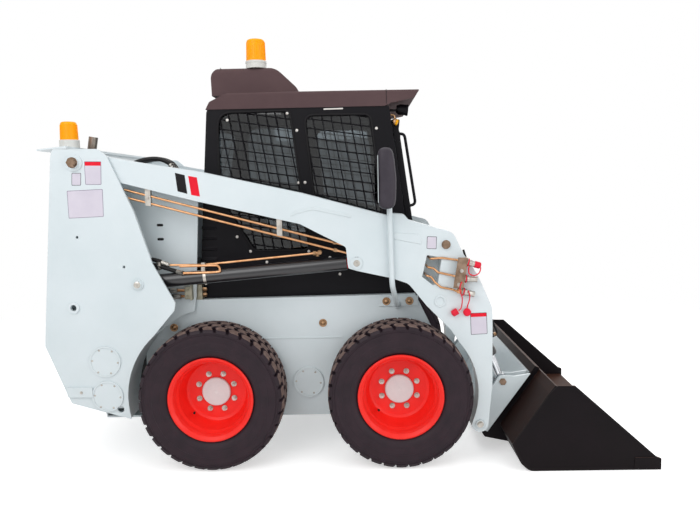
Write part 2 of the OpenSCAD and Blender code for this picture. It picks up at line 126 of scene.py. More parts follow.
def coatedSteel(name, look):
    # Colour drifts a little over a hand's width, dust lies low, soil on level faces,
    # and the spray leaves an orange peel
    material, tree, shader = newMaterial(name, {
        "Metallic": 0.0, "Roughness": look["roughness"], "Coat Weight": look["coat"],
        "Coat Roughness": look["coatRoughness"], "Specular IOR Level": look["shine"]})
    place = addNode(tree, "ShaderNodeTexCoord").outputs["Object"]
    cloud = addNode(tree, "ShaderNodeTexNoise",
                    {"Scale": perMetre(look["cloudMm"]), "Detail": 5.0, "Roughness": 0.6},
                    {"Vector": place})
    tone = addNode(tree, "ShaderNodeValToRGB", links={"Fac": cloud.outputs["Fac"]},
                   stops=[(0.3, hexColour(look["deep"])), (0.7, hexColour(look["base"]))])
    height = addNode(tree, "ShaderNodeSeparateXYZ", links={"Vector": place})
    low = addNode(tree, "ShaderNodeMapRange", {"From Min": look["dustTop"], "From Max": 0.0},
                  {"Value": height.outputs["Z"]})
    grit = addNode(tree, "ShaderNodeTexNoise",
                   {"Scale": perMetre(look["dustMm"]), "Detail": 8.0, "Roughness": 0.7}, {"Vector": place})
    patches = addNode(tree, "ShaderNodeMath", {"operation": "MULTIPLY"},
                      {0: low.outputs["Result"], 1: grit.outputs["Fac"]})
    amount = addNode(tree, "ShaderNodeMath", {"operation": "MULTIPLY", "use_clamp": True, 1: look["dust"]},
                     {0: patches.outputs["Value"]})
    # Edges, where the bevel normal turns from the face's, take their own colour: a painted highlight on the
    # white
    # and red enamel, worn bare steel on the bucket, and a paler edge on the other paints
    soft = addNode(tree, "ShaderNodeBevel", {"Radius": look["edgeMm"] / 1000, "samples": 4})
    plain = addNode(tree, "ShaderNodeNewGeometry")
    turn = addNode(tree, "ShaderNodeVectorMath", {"operation": "DOT_PRODUCT"},
                   {0: soft.outputs["Normal"], 1: plain.outputs["Normal"]})
    edge = addNode(tree, "ShaderNodeMapRange", {"From Min": 0.99, "From Max": 0.85, "To Max": look["edge"]},
                   {"Value": turn.outputs["Value"]})
    dusty = addNode(tree, "ShaderNodeMixRGB", {"Color2": hexColour(look["dustColour"])},
                    {"Fac": amount.outputs["Value"], "Color1": tone.outputs["Color"]})
    facing = addNode(tree, "ShaderNodeSeparateXYZ", links={"Vector": plain.outputs["Normal"]})
    level = addNode(tree, "ShaderNodeMapRange", {"From Min": 0.45, "From Max": 0.9, "To Max": look["soil"]},
                    {"Value": facing.outputs["Z"]})
    settled = addNode(tree, "ShaderNodeMath", {"operation": "MULTIPLY", "use_clamp": True},
                      {0: level.outputs["Result"], 1: grit.outputs["Fac"]})
    soiled = addNode(tree, "ShaderNodeMixRGB", {"Color2": hexColour(look["soilColour"])},
                     {"Fac": settled.outputs["Value"], "Color1": dusty.outputs["Color"]})
    highlightedAndWornEdges = addNode(tree, "ShaderNodeMixRGB", {"Color2": hexColour(look["edgeHighlightAndWearColour"])},
                   {"Fac": edge.outputs["Result"], "Color1": soiled.outputs["Color"]})
    peel = addNode(tree, "ShaderNodeTexNoise", {"Scale": perMetre(look["peelMm"]), "Detail": 2.0},
                   {"Vector": place})
    bump = addNode(tree, "ShaderNodeBump", {"Strength": look["peel"], "Distance": 0.001},
                   {"Height": peel.outputs["Fac"], "Normal": soft.outputs["Normal"]})
    gloss = addNode(tree, "ShaderNodeMapRange",
                    {"To Min": look["roughness"], "To Max": look["roughness"] + 0.18},
                    {"Value": grit.outputs["Fac"]})
    plug(shader, {"Base Color": highlightedAndWornEdges.outputs["Color"], "Roughness": gloss.outputs["Result"],
                  "Normal": bump.outputs["Normal"]})
    return material


enamel = {"roughness": 0.34, "coat": 0.25, "coatRoughness": 0.2, "cloudMm": 420, "dustMm": 60,
          "dustTop": 0.9, "dust": 0.18, "dustColour": "#b3a99a", "edgeMm": 3, "edge": 0.35, "peelMm": 5,
          "peel": 0.08, "soilColour": "#8d8378", "soil": 0.0, "shine": 0.5}

# Two-pack enamel in a cool white over folded plate: semi-gloss, paler where an edge catches light
whiteEnamel = coatedSteel("whiteEnamel", dict(enamel, base="#d9e2e6", deep="#cfdade", edgeHighlightAndWearColour="#ecf1f3"))
# The same enamel baked on a pressed rim: a strong orange red, with less clear coat than the plates, and a
# painted highlight that makes its edges paler
rimEnamel = coatedSteel("rimEnamel",
                        dict(enamel, base="#fb1f14", deep="#f0170d", coat=0.1, shine=0.3,
                             cloudMm=120, edgeHighlightAndWearColour="#ff5a3c", dust=0.06))
# Greyish white enamel on the machined hub: matt beside the rim
hubEnamel = coatedSteel("hubEnamel",
                        dict(enamel, base="#dde4e4", deep="#d2d9da", roughness=0.45, coat=0.0, cloudMm=60,
                             edgeHighlightAndWearColour="#efe6e8", dust=0.08))
# Satin black powder coat on the cab's welded frame: soft sheen with a brown cast
blackPowder = coatedSteel("blackPowder",
                          dict(enamel, base="#0c0a10", deep="#08070b", roughness=0.4, coat=0.0, shine=0.15,
                               peelMm=3, peel=0.15, dustColour="#3c3638", dust=0.15,
                               edgeHighlightAndWearColour="#2e2a30", edge=0.5))
# Glossy black paint on the cylinders' drawn tubes: it carries long pale highlights
barrelPaint = coatedSteel("barrelPaint",
                          dict(enamel, base="#141318", deep="#0e0d12", roughness=0.22, coat=0.5,
                               coatRoughness=0.1, peelMm=3, dustColour="#3c3638", dust=0.08,
                               edgeHighlightAndWearColour="#2e2a30", edge=0.3))
# Textured roof coat: coarse grained, matt and taupe, so that it hardly shines from above
roofCoat = coatedSteel("roofCoat",
                       dict(enamel, base="#5a4748", deep="#503e40", shine=0.2, roughness=0.7, coat=0.0,
                            peelMm=4, peel=0.5, dustColour="#6f605c", edgeHighlightAndWearColour="#6e5d5c", edge=0.4))
# Black bucket paint over hot rolled plate: dull, scuffed brown and rubbed to steel along its edges
bucketPaint = coatedSteel("bucketPaint",
                          dict(enamel, base="#0f080d", deep="#090508", shine=0.12, roughness=0.42, coat=0.0,
                               cloudMm=160, peelMm=7, peel=0.2, dustColour="#2c2322", dust=0.22,
                               dustTop=0.6, dustMm=35, edgeHighlightAndWearColour="#4c4644", edge=0.5, edgeMm=4,
                               soilColour="#5c3b2c", soil=0.95))
# Dark grey engine paint over cast iron: rough and without shine
castPaint = coatedSteel("castPaint",
                        dict(enamel, base="#43464a", deep="#33363a", roughness=0.6, coat=0.0, peelMm=3,
                             peel=0.6, edgeHighlightAndWearColour="#5e6266"))


def platedMetal(name, look):
    # Plating drifts in hue over a few centimetres and holds fine drawing lines
    material, tree, shader = newMaterial(name, {"Metallic": 1.0, "Roughness": look["roughness"]})
    place = addNode(tree, "ShaderNodeTexCoord").outputs["Object"]
    cloud = addNode(tree, "ShaderNodeTexNoise", {"Scale": perMetre(look["cloudMm"]), "Detail": 4.0},
                    {"Vector": place})
    tone = addNode(tree, "ShaderNodeValToRGB", links={"Fac": cloud.outputs["Fac"]},
                   stops=[(0.35, hexColour(look["deep"])), (0.65, hexColour(look["base"]))])
    grain = addNode(tree, "ShaderNodeTexNoise", {"Scale": perMetre(look["grainMm"]), "Detail": 3.0},
                    {"Vector": place})
    gloss = addNode(tree, "ShaderNodeMapRange",
                    {"To Min": look["roughness"] - 0.06, "To Max": look["roughness"] + 0.12},
                    {"Value": grain.outputs["Fac"]})
    bump = addNode(tree, "ShaderNodeBump", {"Strength": look["bump"], "Distance": 0.0005},
                   {"Height": grain.outputs["Fac"]})
    plug(shader, {"Base Color": tone.outputs["Color"], "Roughness": gloss.outputs["Result"],
                  "Normal": bump.outputs["Normal"]})
    return material


plating = {"roughness": 0.28, "cloudMm": 30, "grainMm": 2, "bump": 0.1}

# Hard chrome on ground bar: a clean mirror, only a little scratched
chromeRod = platedMetal("chromeRod",
                        dict(plating, base="#d5d7da", deep="#c6c9cd", roughness=0.12, bump=0.03))
# Yellow passivated zinc on drawn steel tube: it reads as pale copper
goldZinc = platedMetal("goldZinc", dict(plating, base="#d3a27a", deep="#bf8c62", roughness=0.32))
# The same passivation on bolt heads: darker and browner
brownZinc = platedMetal("brownZinc", dict(plating, base="#b3906f", deep="#937355", roughness=0.38))
# Weathered steel of a hinge pin's head, left bare and browned
brownSteel = platedMetal("brownSteel",
                         dict(plating, base="#96806f", deep="#74604f", roughness=0.45, grainMm=3,
                              bump=0.25))
# Bright zinc on turned couplers, clips and washers
brightZinc = platedMetal("brightZinc", dict(plating, base="#c3bfb8", deep="#a9a49d", roughness=0.34))
# Mill-finish casting of the control valve: dull and grainy
valveCasting = platedMetal("valveCasting",
                           dict(plating, base="#b3ae9c", deep="#94907f", roughness=0.5, grainMm=1.5,
                                bump=0.3))
# Aluminised exhaust pipe, browned by heat
exhaustSteel = platedMetal("exhaustSteel",
                           dict(plating, base="#8d857d", deep="#6f6157", roughness=0.45, cloudMm=60))


def mouldedPart(name, look):
    # Moulding leaves an even colour with a fine grain in the skin
    material, tree, shader = newMaterial(name,
                                         {"Roughness": look["roughness"],
                                          "Specular IOR Level": look["shine"]})
    place = addNode(tree, "ShaderNodeTexCoord").outputs["Object"]
    cloud = addNode(tree, "ShaderNodeTexNoise", {"Scale": perMetre(look["cloudMm"]), "Detail": 6.0},
                    {"Vector": place})
    tone = addNode(tree, "ShaderNodeValToRGB", links={"Fac": cloud.outputs["Fac"]},
                   stops=[(0.3, hexColour(look["deep"])), (0.7, hexColour(look["base"]))])
    grain = addNode(tree, "ShaderNodeTexNoise", {"Scale": perMetre(look["grainMm"]), "Detail": 2.0},
                    {"Vector": place})
    bump = addNode(tree, "ShaderNodeBump", {"Strength": look["bump"], "Distance": 0.001},
                   {"Height": grain.outputs["Fac"]})
    gloss = addNode(tree, "ShaderNodeMapRange",
                    {"To Min": look["roughness"] - 0.05, "To Max": look["roughness"] + 0.1},
                    {"Value": cloud.outputs["Fac"]})
    plug(shader, {"Base Color": tone.outputs["Color"], "Roughness": gloss.outputs["Result"],
                  "Normal": bump.outputs["Normal"]})
    return material


moulding = {"roughness": 0.5, "cloudMm": 80, "grainMm": 2, "bump": 0.15, "shine": 0.4}

# Carbon black tyre rubber, cured in a mould: dark violet grey, with a dull bloom
tyreRubber = mouldedPart("tyreRubber",
                         dict(moulding, base="#2d2027", deep="#22181f", shine=0.22, roughness=0.5,
                              cloudMm=70, grainMm=3, bump=0.25))
# The lugs' tops, scrubbed by the yard: paler and brown
lugRubber = mouldedPart("lugRubber",
                        dict(moulding, base="#856f68", deep="#65534d", shine=0.2, roughness=0.75,
                             cloudMm=25, grainMm=3, bump=0.4))
# Smooth synthetic rubber over braid, as hydraulic hoses have
hoseRubber = mouldedPart("hoseRubber",
                         dict(moulding, base="#181618", deep="#111011", shine=0.25, roughness=0.45,
                              grainMm=1.5, bump=0.3))
# Grained polypropylene of the mirror heads
mirrorShell = mouldedPart("mirrorShell",
                          dict(moulding, base="#3c373f", deep="#322d35", shine=0.25, roughness=0.5,
                               grainMm=2, bump=0.3))
# Glossy PVC dust caps and their straps
redCap = mouldedPart("redCap",
                     dict(moulding, base="#ec1738", deep="#d61030", shine=0.3, roughness=0.4, bump=0.05))
# Matt white nylon screw heads
whiteNylon = mouldedPart("whiteNylon",
                         dict(moulding, base="#e6e2dd", deep="#d6d1cb", roughness=0.5, bump=0.1))
# White ABS base of a beacon
whiteAbs = mouldedPart("whiteAbs", dict(moulding, base="#dcdcd8", deep="#cfcfca", roughness=0.4, bump=0.08))
# Cast vinyl film for stripes and blank stickers
blackVinyl = mouldedPart("blackVinyl",
                         dict(moulding, base="#110f12", deep="#0d0c0f", shine=0.2, roughness=0.3,
                              bump=0.02))
redVinyl = mouldedPart("redVinyl",
                       dict(moulding, base="#ea0c2c", deep="#dc0a27", shine=0.25, roughness=0.3, bump=0.02))
whiteVinyl = mouldedPart("whiteVinyl",
                         dict(moulding, base="#d6d0dc", deep="#cec8d5", roughness=0.35, bump=0.02))
violetVinyl = mouldedPart("violetVinyl",
                          dict(moulding, base="#8d7f97", deep="#81738b", roughness=0.35, bump=0.02))
greyVinyl = mouldedPart("greyVinyl",
                        dict(moulding, base="#4b4c54", deep="#42434b", roughness=0.35, bump=0.02))
# Coated fabric of the seat: fine leather grain, soft sheen
seatVinyl = mouldedPart("seatVinyl",
                        dict(moulding, base="#29282c", deep="#201f23", shine=0.25, roughness=0.55,
                             grainMm=4, bump=0.5))
# Black sealing rubber round a window
sealRubber = mouldedPart("sealRubber",
                         dict(moulding, base="#161417", deep="#100f11", shine=0.2, roughness=0.6, grainMm=2,
                              bump=0.2))


def clearPart(name, settings, tint):
    # Shadow rays pass, so that what lies behind is lit
    material, tree, shader = newMaterial(name, settings)
    shader.inputs["Base Color"].default_value = hexColour(tint)
    path = addNode(tree, "ShaderNodeLightPath")
    through = addNode(tree, "ShaderNodeBsdfTransparent", {"Color": hexColour(tint)})
    both = mixedShader(tree, path.outputs["Is Shadow Ray"], shader.outputs["BSDF"], through.outputs["BSDF"])
    plug(tree.nodes["Material Output"], {"Surface": both})
    return material


# Toughened glass in a neutral grey tint: mirror smooth, and darker than what stands behind it
tintedGlass = clearPart("tintedGlass", {"Transmission Weight": 1.0, "Roughness": 0.02, "IOR": 1.5},
                        "#7f8588")
# Amber polycarbonate of a beacon: glows when light falls through it
amberLens = clearPart("amberLens",
                      {"Transmission Weight": 0.25, "Roughness": 0.3, "IOR": 1.58,
                       "Specular IOR Level": 0.05}, "#ffb800")
# Red acrylic of a tail lamp
redLens = clearPart("redLens", {"Transmission Weight": 0.3, "Roughness": 0.2, "IOR": 1.49}, "#c4202a")
# Clear polycarbonate of a work lamp
clearLens = clearPart("clearLens", {"Transmission Weight": 0.8, "Roughness": 0.1, "IOR": 1.58}, "#e8ecec")
# Silvered back of a mirror pane: it shows what lies behind the machine
mirrorGlass, _, _ = newMaterial("mirrorGlass", {"Metallic": 1.0, "Roughness": 0.03,
                                                "Base Color": hexColour("#cfd6d8")})
# Yellow reflector that turns inside a beacon
lampYellow = mouldedPart("lampYellow",
                         dict(moulding, base="#ffd21f", deep="#ffc40c", roughness=0.3, bump=0.02))

nodeFinishes = {
    whiteEnamel: ["main_frame", "engine_deck", "rear_cover", "tower_right", "tower_left", "arm_right",
                  "arm_left", "boom_cross", "quick_attach", "tailgate", "engine_lid"],
    blackPowder: ["cab_side_right", "cab_side_left", "cab_rear", "cab_front", "front_door"],
    barrelPaint: ["lift_barrel_right", "lift_barrel_left", "tilt_barrel_right", "tilt_barrel_left"],
    roofCoat: ["cab_roof", "roof_unit"], bucketPaint: ["bucket_shell"], castPaint: ["axle_tubes", "engine"],
    exhaustSteel: ["exhaust"], valveCasting: ["valve_block"], goldZinc: ["boom_lines"],
    chromeRod: ["lift_rod_right", "lift_rod_left", "tilt_rod_right", "tilt_rod_left"],
    seatVinyl: ["seat"], tintedGlass: ["cab_glass"], whiteAbs: ["beacon_bases"],
    amberLens: ["beacon_domes"], mirrorShell: ["mirrors"], redLens: ["lamps"],
    tyreRubber: ["tyre_" + w for w in wheelCorners], rimEnamel: ["rim_" + w for w in wheelCorners],
    }
for material, names in nodeFinishes.items():
    for name in names:
        nodes[name].data.materials.clear()
        nodes[name].data.materials.append(material)


# Shapes: each is a pair of a point list and a face list

def moved(shape, matrix):
    return [matrix @ Vector(p) for p in shape[0]], shape[1]


def merged(shapes):
    points, faces = [], []
    for shapePoints, shapeFaces in shapes:
        start = len(points)
        points += list(shapePoints)
        faces += [tuple(start + i for i in face) for face in shapeFaces]
    return points, faces


def towards(place, direction):
    return Matrix.Translation(place) @ Vector(direction).to_track_quat("Z", "Y").to_matrix().to_4x4()


def sideTurn(side):
    # Local X points ahead and local Z out of the machine's side
    out, ahead = Vector((0, side, 0)), Vector((1, 0, 0))
    return Matrix((ahead, out.cross(ahead), out)).transposed().to_4x4()


def outward(x, y, z, side):
    return Matrix.Translation(at(x, side * y, z)) @ sideTurn(side)


def onSide(shape, x, y, z, side):
    return moved(shape, outward(x, y, z, side))


def lathed(profile, count, closed=False):
    points, faces, rows = [], [], []
    for r, z in profile:
        ring = range(1) if r < 1e-6 else range(count)
        rows.append([len(points) + i % len(ring) for i in range(count)])
        points += [Vector((r * math.cos(2 * math.pi * i / count), r * math.sin(2 * math.pi * i / count), z))
                   for i in ring]
    for a, b in zip(rows, rows[1:] + (rows[:1] if closed else [])):
        for i in range(count):
            j = (i + 1) % count
            corners = list(dict.fromkeys((a[i], a[j], b[j], b[i])))
            if len(corners) > 2:
                faces.append(tuple(corners))
    return points, faces


def turned(profile, count=32):
    # A closed lathe profile of (radius, height) in millimetres, from the axis back to the axis
    return lathed([(r / 1000, z / 1000) for r, z in profile], count)


def hoop(profile, count):
    # A closed lathe profile in millimetres that leaves the axis free
    return lathed([(r / 1000, z / 1000) for r, z in profile], count, closed=True)


def drum(r, low, high, count=32):
    return turned([(0, low), (r, low), (r, high), (0, high)], count)


def oblong(x0, z0, x1, z1, *r):
    return [(x0, z0, *r), (x1, z0, *r), (x1, z1, *r), (x0, z1, *r)]


def prism(outline, low, high):
    n = len(outline)
    points = [Vector((x, y, z)) for z in (low, high) for x, y in outline]
    faces = [tuple(reversed(range(n))), tuple(range(n, 2 * n))]
    faces += [(i, (i + 1) % n, n + (i + 1) % n, n + i) for i in range(n)]
    return points, faces


def sideView(outline, low, high):
    # A side-view outline in millimetres between two y values
    flat = prism(outline, low, high)
    return [at(p.x, p.z, p.y) for p in flat[0]], flat[1]


def slab(low, high):
    flat = prism(oblong(*low[:2], *high[:2]), low[2], high[2])
    return [at(*p) for p in flat[0]], flat[1]


def tube(points, radiusMm, sidesCount=12, closed=False):
    # A round bar along points given in metres
    points = [Vector(p) for p in points]
    count, radius = len(points), radiusMm / 1000
    rings, faces = [], []
    across = (points[1] - points[0]).orthogonal().normalized()
    for i, p in enumerate(points):
        before = points[(i - 1) % count] if closed else points[max(i - 1, 0)]
        after = points[(i + 1) % count] if closed else points[min(i + 1, count - 1)]
        ahead = (after - before).normalized()
        across = (across - ahead * across.dot(ahead)).normalized()
        up = ahead.cross(across)
        angles = [2 * math.pi * k / sidesCount for k in range(sidesCount)]
        rings += [p + radius * (math.cos(a) * across + math.sin(a) * up) for a in angles]
    for i in range(count if closed else count - 1):
        a, b = i * sidesCount, (i + 1) % count * sidesCount
        faces += [(a + k, a + (k + 1) % sidesCount, b + (k + 1) % sidesCount, b + k)
                  for k in range(sidesCount)]
    if not closed:
        last = (count - 1) * sidesCount
        faces += [tuple(reversed(range(sidesCount))), tuple(range(last, last + sidesCount))]
    return rings, faces


def eased(start, corner, end, steps):
    # A curve from start to end that leans on the corner
    shares = [i / steps for i in range(steps + 1)]
    return [(1 - t) ** 2 * start + 2 * t * (1 - t) * corner + t ** 2 * end for t in shares]


def bent(points, radiusMm, steps=6, closed=False):
    # Rounds the corners of a path to one bend radius
    points = [Vector(p) for p in points]
    around = points[-1:] + points + points[:1] if closed else points
    path = [] if closed else [points[0]]
    for a, b, c in zip(around, around[1:], around[2:]):
        back, on = (a - b).normalized(), (c - b).normalized()
        half = back.angle(on) / 2
        reach = min(radiusMm / 1000 / max(math.tan(half), 0.01), (a - b).length * 0.49,
                    (c - b).length * 0.49)
        path += eased(b + back * reach, b, b + on * reach, steps)
    return path if closed else path + [points[-1]]


def smoothPath(points, steps=8):
    # A Catmull-Rom curve through the points
    points = [Vector(p) for p in points]
    ends = [2 * points[0] - points[1]] + points + [2 * points[-1] - points[-2]]
    path = []
    for a, b, c, d in zip(ends, ends[1:], ends[2:], ends[3:]):
        for i in range(steps):
            t = i / steps
            slope, curl, twist = c - a, 2 * a - 5 * b + 4 * c - d, 3 * b - a - 3 * c + d
            path.append(0.5 * (2 * b + slope * t + curl * t ** 2 + twist * t ** 3))
    return path + [points[-1]]


def hexHead(flatsMm, riseMm=None, washerMm=None):
    rise, washer = riseMm or flatsMm * 0.6, washerMm or flatsMm * 0.75
    low = washer * 0.12
    turns = [math.pi * k / 3 for k in range(6)]
    ring = [tuple(flatsMm / math.sqrt(3) * f(a) / 1000 for f in (math.cos, math.sin)) for a in turns]
    body = prism(ring, low / 1000, (low + rise * 0.85) / 1000)
    top = prism([(x * 0.86, y * 0.86) for x, y in ring], (low + rise * 0.85) / 1000, (low + rise) / 1000)
    return merged([turned([(0, 0), (washer, 0), (washer, low * 0.7), (washer - low * 0.3, low), (0, low)]),
                   body, top])


def domeHead(radiusMm, riseMm):
    arc = [math.pi / 2 * k / 6 for k in range(7)]
    return turned([(0, 0)] + [(radiusMm * math.cos(a), riseMm * math.sin(a)) for a in arc[:-1]]
                  + [(0, riseMm)], 24)


def flangeBolt(radiusMm, riseMm):
    # Washer with a raised lip, and a domed head on it
    washer = turned([(0, 0), (radiusMm, 0), (radiusMm, 3), (radiusMm - 2, 4.5), (radiusMm - 4, 4), (0, 4)])
    head = moved(domeHead(radiusMm * 0.68, riseMm - 4), Matrix.Translation((0, 0, 0.004)))
    return merged([washer, head])


def padShape(halves, count, crownMm, channels, channelMm):
    # A box with swollen faces and sewn channels across its upper face; halves in millimetres
    points, faces, index = [], [], {}

    def corner(p):
        key = tuple(round(v, 5) for v in p)
        if key not in index:
            index[key] = len(points)
            scale = sum(abs(v) ** 5 for v in p) ** (-1 / 5)
            x, y, z = (v * scale for v in p)
            rise = crownMm * (1 - x * x) * (1 - y * y) * max(z, 0)
            groove = sum(math.exp(-((x - c) / 0.05) ** 2) for c in channels) * max(z, 0) * (1 - y ** 6)
            points.append(Vector((x * halves[0], y * halves[1],
                                  z * halves[2] + rise - channelMm * groove)) / 1000)
        return index[key]

    steps = [-1 + 2 * i / count for i in range(count + 1)]
    for axis in range(3):
        for end in (-1, 1):
            for i in range(count):
                for j in range(count):
                    quad = []
                    for u, v in ((steps[i], steps[j]), (steps[i + 1], steps[j]),
                                 (steps[i + 1], steps[j + 1]), (steps[i], steps[j + 1])):
                        p = [u, v]
                        p.insert(axis, end)
                        quad.append(corner(p))
                    faces.append(tuple(quad))
    return points, faces


def solidMesh(name, shape, weld=0.0):
    mesh = bpy.data.meshes.new(name)
    mesh.from_pydata([tuple(p) for p in shape[0]], [], shape[1])
    work = bmesh.new()
    work.from_mesh(mesh)
    if weld:
        bmesh.ops.remove_doubles(work, verts=work.verts, dist=weld)
    bmesh.ops.recalc_face_normals(work, faces=work.faces)
    work.to_mesh(mesh)
    work.free()
    return mesh


def shown(name, data):
    obj = bpy.data.objects.new(name, data)
    bpy.context.scene.collection.objects.link(obj)
    return obj


def piece(name, parts, body, slot, bevelMm=0.0, angle=35):
    # Parts are pairs of a material and its shapes; a piece without a body is left unattached
    blocks = [merged(shapes) for _, shapes in parts]
    mesh = solidMesh(name, merged(blocks))
    for material, _ in parts:
        mesh.materials.append(material)
    finish = [number for number, block in enumerate(blocks) for _ in block[1]]
    mesh.polygons.foreach_set("material_index", finish)
    mesh.polygons.foreach_set("use_smooth", [True] * len(mesh.polygons))
    mesh.set_sharp_from_angle(angle=math.radians(angle))
    obj = shown(name, mesh)
    if bevelMm:
        soften = obj.modifiers.new("softEdges", "BEVEL")
        soften.width, soften.segments, soften.limit_method = bevelMm / 1000, 2, "ANGLE"
        soften.harden_normals = True
    if body:
        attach(obj, body)
    return obj


def dressed(node, name, parts, body, slot, **finish):
    # A piece that is shown in the place of a CAD node
    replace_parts(piece(name, parts, body, slot, **finish), node)


# Distances from the machine's middle plane, in millimetres
halfWidths = {"cab": 500, "frame": 545, "armIn": 635, "arm": 745, "tower": 765, "tilt": 580, "bucket": 867}


def roundedCorners(corners, steps=6):
    # A closed outline of corner points (x, z) or (x, z, radius)
    path = []
    for k, (x, z, *r) in enumerate(corners):
        if not r:
            path.append((x, z))
            continue
        p = Vector((x, z))
        a, b = (Vector(corners[j][:2]) - p for j in (k - 1, (k + 1) % len(corners)))
        reach = r[0] / math.tan(a.angle(b) / 2)
        ends = (p + a.normalized() * reach, p, p + b.normalized() * reach)
        path += [tuple(q) for q in eased(*ends, steps)]
    return path


def plate(corners, low, high, side=1):
    return sideView(roundedCorners(corners), side * low, side * high)


def disc(x, z, r, low, high, side, count=48):
    return onSide(drum(r, 0, high - low, count), x, low, z, side)


def alongX(corners, low, high, side=1):
    # An end-view outline of (y, z) between two x values
    flat = prism(roundedCorners(corners), low, high)
    return [at(p.z, side * p.x, p.y) for p in flat[0]], flat[1]


def nodeShape(name):
    mesh = nodes[name].data
    return [v.co.copy() for v in mesh.vertices], [tuple(p.vertices) for p in mesh.polygons]


def partOf(shape, test):
    points, faces = shape
    return points, [face for face in faces if all(test(points[i]) for i in face)]


def carved(shape, tools, operation="DIFFERENCE"):
    # Cuts the tools out of a shape, or keeps what it shares with them
    blanks = [shown("blank", solidMesh("blank", source, weld=0.00001)) for source in (shape, merged(tools))]
    cut = blanks[0].modifiers.new("cut", "BOOLEAN")
    cut.operation, cut.solver, cut.object = operation, "EXACT", blanks[1]
    done = blanks[0].evaluated_get(bpy.context.evaluated_depsgraph_get()).to_mesh()
    result = [v.co.copy() for v in done.vertices], [tuple(p.vertices) for p in done.polygons]
    for blank in blanks:
        bpy.data.objects.remove(blank)
    return result


# Towers: covers with raised rims, drilled boss, flange, strap and tie-down hole

towerShape = {
    "covers": [(-1040, 577), (-1036, 393)], "coverInMm": 73, "coverDeepMm": (5, 9.5),
    "holes": [(-1150, 1227, 7), (-917, 1070, 7), (-972, 322, 18), (-1187, 863, 16)], "holeMm": (-30, 9.5),
    "flange": [(-782, 1112), (-858, 1354), (-893, 1434), (-902, 1430), (-867, 1350), (-791, 1108)],
    "flangeMm": (-32, -11), "strap": [(-1252, 444, 10), (-1112, 442, 4), (-1112, 391, 4), (-1240, 391, 16)],
    "strapMm": (-1, 12)}
for side, s in sides.items():
    look = towerShape
    deep = {key: [halfWidths["tower"] + v for v in look[key]]
            for key in ("coverDeepMm", "holeMm", "flangeMm", "strapMm")}
    cuts = [disc(x, z, r, *deep["holeMm"], s) for x, z, r in look["holes"]]
    cuts += [disc(x, z, look["coverInMm"], *deep["coverDeepMm"], s) for x, z in look["covers"]]
    shapes = [carved(nodeShape("tower_" + side), cuts), plate(look["flange"], *deep["flangeMm"], s),
              plate(look["strap"], *deep["strapMm"], s)]
    dressed("tower_" + side, "towerDressed_" + side, [(whiteEnamel, shapes)], "chassis", "white_paint",
            angle=30)
print("stage: towers")

# Arms: bosses, pressed stiffeners, ring, and the pocket that the couplers' pipes come out of

armShape = {
    "pocket": [(636, 1101, 6), (711, 1086, 6), (690, 950, 20), (664, 945, 10), (610, 990, 6)],
    "pocketWallMm": 12, "ring": (701, 860),
    "ringProfile": [(21, -1), (30, -1), (30, 3), (28, 4), (23, 4), (21, 3)],
    "stiffeners": [[(-57, 1312), (-40, 1334, 4), (56, 1357, 20), (250, 1313), (250, 1300), (58, 1344, 20),
                    (-34, 1323, 4)],
                   [(462, 1219), (590, 1209, 10), (611, 1175, 6), (605, 1157, 6), (462, 1189)]],
    "stiffenerMm": 3, "bosses": [(276, 1066, 31, 6), (733, 1154, 24, 5)]}
for side, s in sides.items():
    look, out = armShape, halfWidths["arm"]
    body = nodeShape("arm_" + side)
    if side == "right":
        body = carved(body, [plate(look["pocket"], halfWidths["armIn"] + look["pocketWallMm"], out + 2, s)])
    extras = [disc(x, z, r, out - 1, out + rise, s) for x, z, r, rise in look["bosses"]]
    x, z = look["ring"]
    extras.append(onSide(hoop(look["ringProfile"], 48), x, out, z, s))
    extras += [plate(corners, out - 1, out + look["stiffenerMm"], s) for corners in look["stiffeners"]]
    dressed("arm_" + side, "armDressed_" + side, [(whiteEnamel, [body] + extras)], "boom", "white_paint",
            angle=30)
print("stage: arms")

# Frame: cover rims, fold over the chain case, tow clevis, fittings of the control valve

frameShape = {
    "cover": (-3, 391), "rim": [(74, 6), (85, 6), (85, 10), (84, 11), (75, 11), (74, 10)],
    "fold": [(-861, 634), (192, 634), (189, 642), (-861, 642)],
    "ear": [(-1146, 246), (-1160, 330), (-1214, 316, 20), (-1214, 260, 20)], "earY": (20, 34),
    "eye": (-1192, 288, 13.5), "foot": [(-1140, 240), (-1154, 336), (-1166, 334), (-1152, 238)],
    "footY": (0.0, 40)}
for side, s in sides.items():
    look, out = frameShape, halfWidths["frame"]
    x, z = look["cover"]
    rim = onSide(hoop(look["rim"], 64), x, out, z, s)
    ear = carved(plate(look["ear"], *look["earY"], s), [disc(*look["eye"], 10, 40, s)])
    shapes = [rim, plate(look["fold"], out - 1, out + 3, s), ear, plate(look["foot"], *look["footY"], s)]
    piece("frameTrim_" + side, [(whiteEnamel, shapes)], "chassis", "white_paint", angle=30)
controlValve = {"y": -522.7, "low": 859.3, "capX": (-690, -760), "caps": [18, 46],
                "portX": [-670, -632, -594], "portRise": 79.7, "outletX": -572, "outlets": [24, 54]}
look = controlValve
y, low = look["y"], look["low"]
stems = [tube([at(x, y, low + z) for x in look["capX"]], 11, 20) for z in look["caps"]]
nuts = [moved(hexHead(20, 14, 11), Matrix.Translation(at(x, y, low + look["portRise"])))
        for x in look["portX"]]
nuts += [moved(hexHead(22, 20, 12), towards(at(look["outletX"], y, low + z), (1, 0, 0)))
         for z in look["outlets"]]
piece("valveFittings", [(valveCasting, stems), (brownZinc, nuts)], "chassis", "bare_steel")
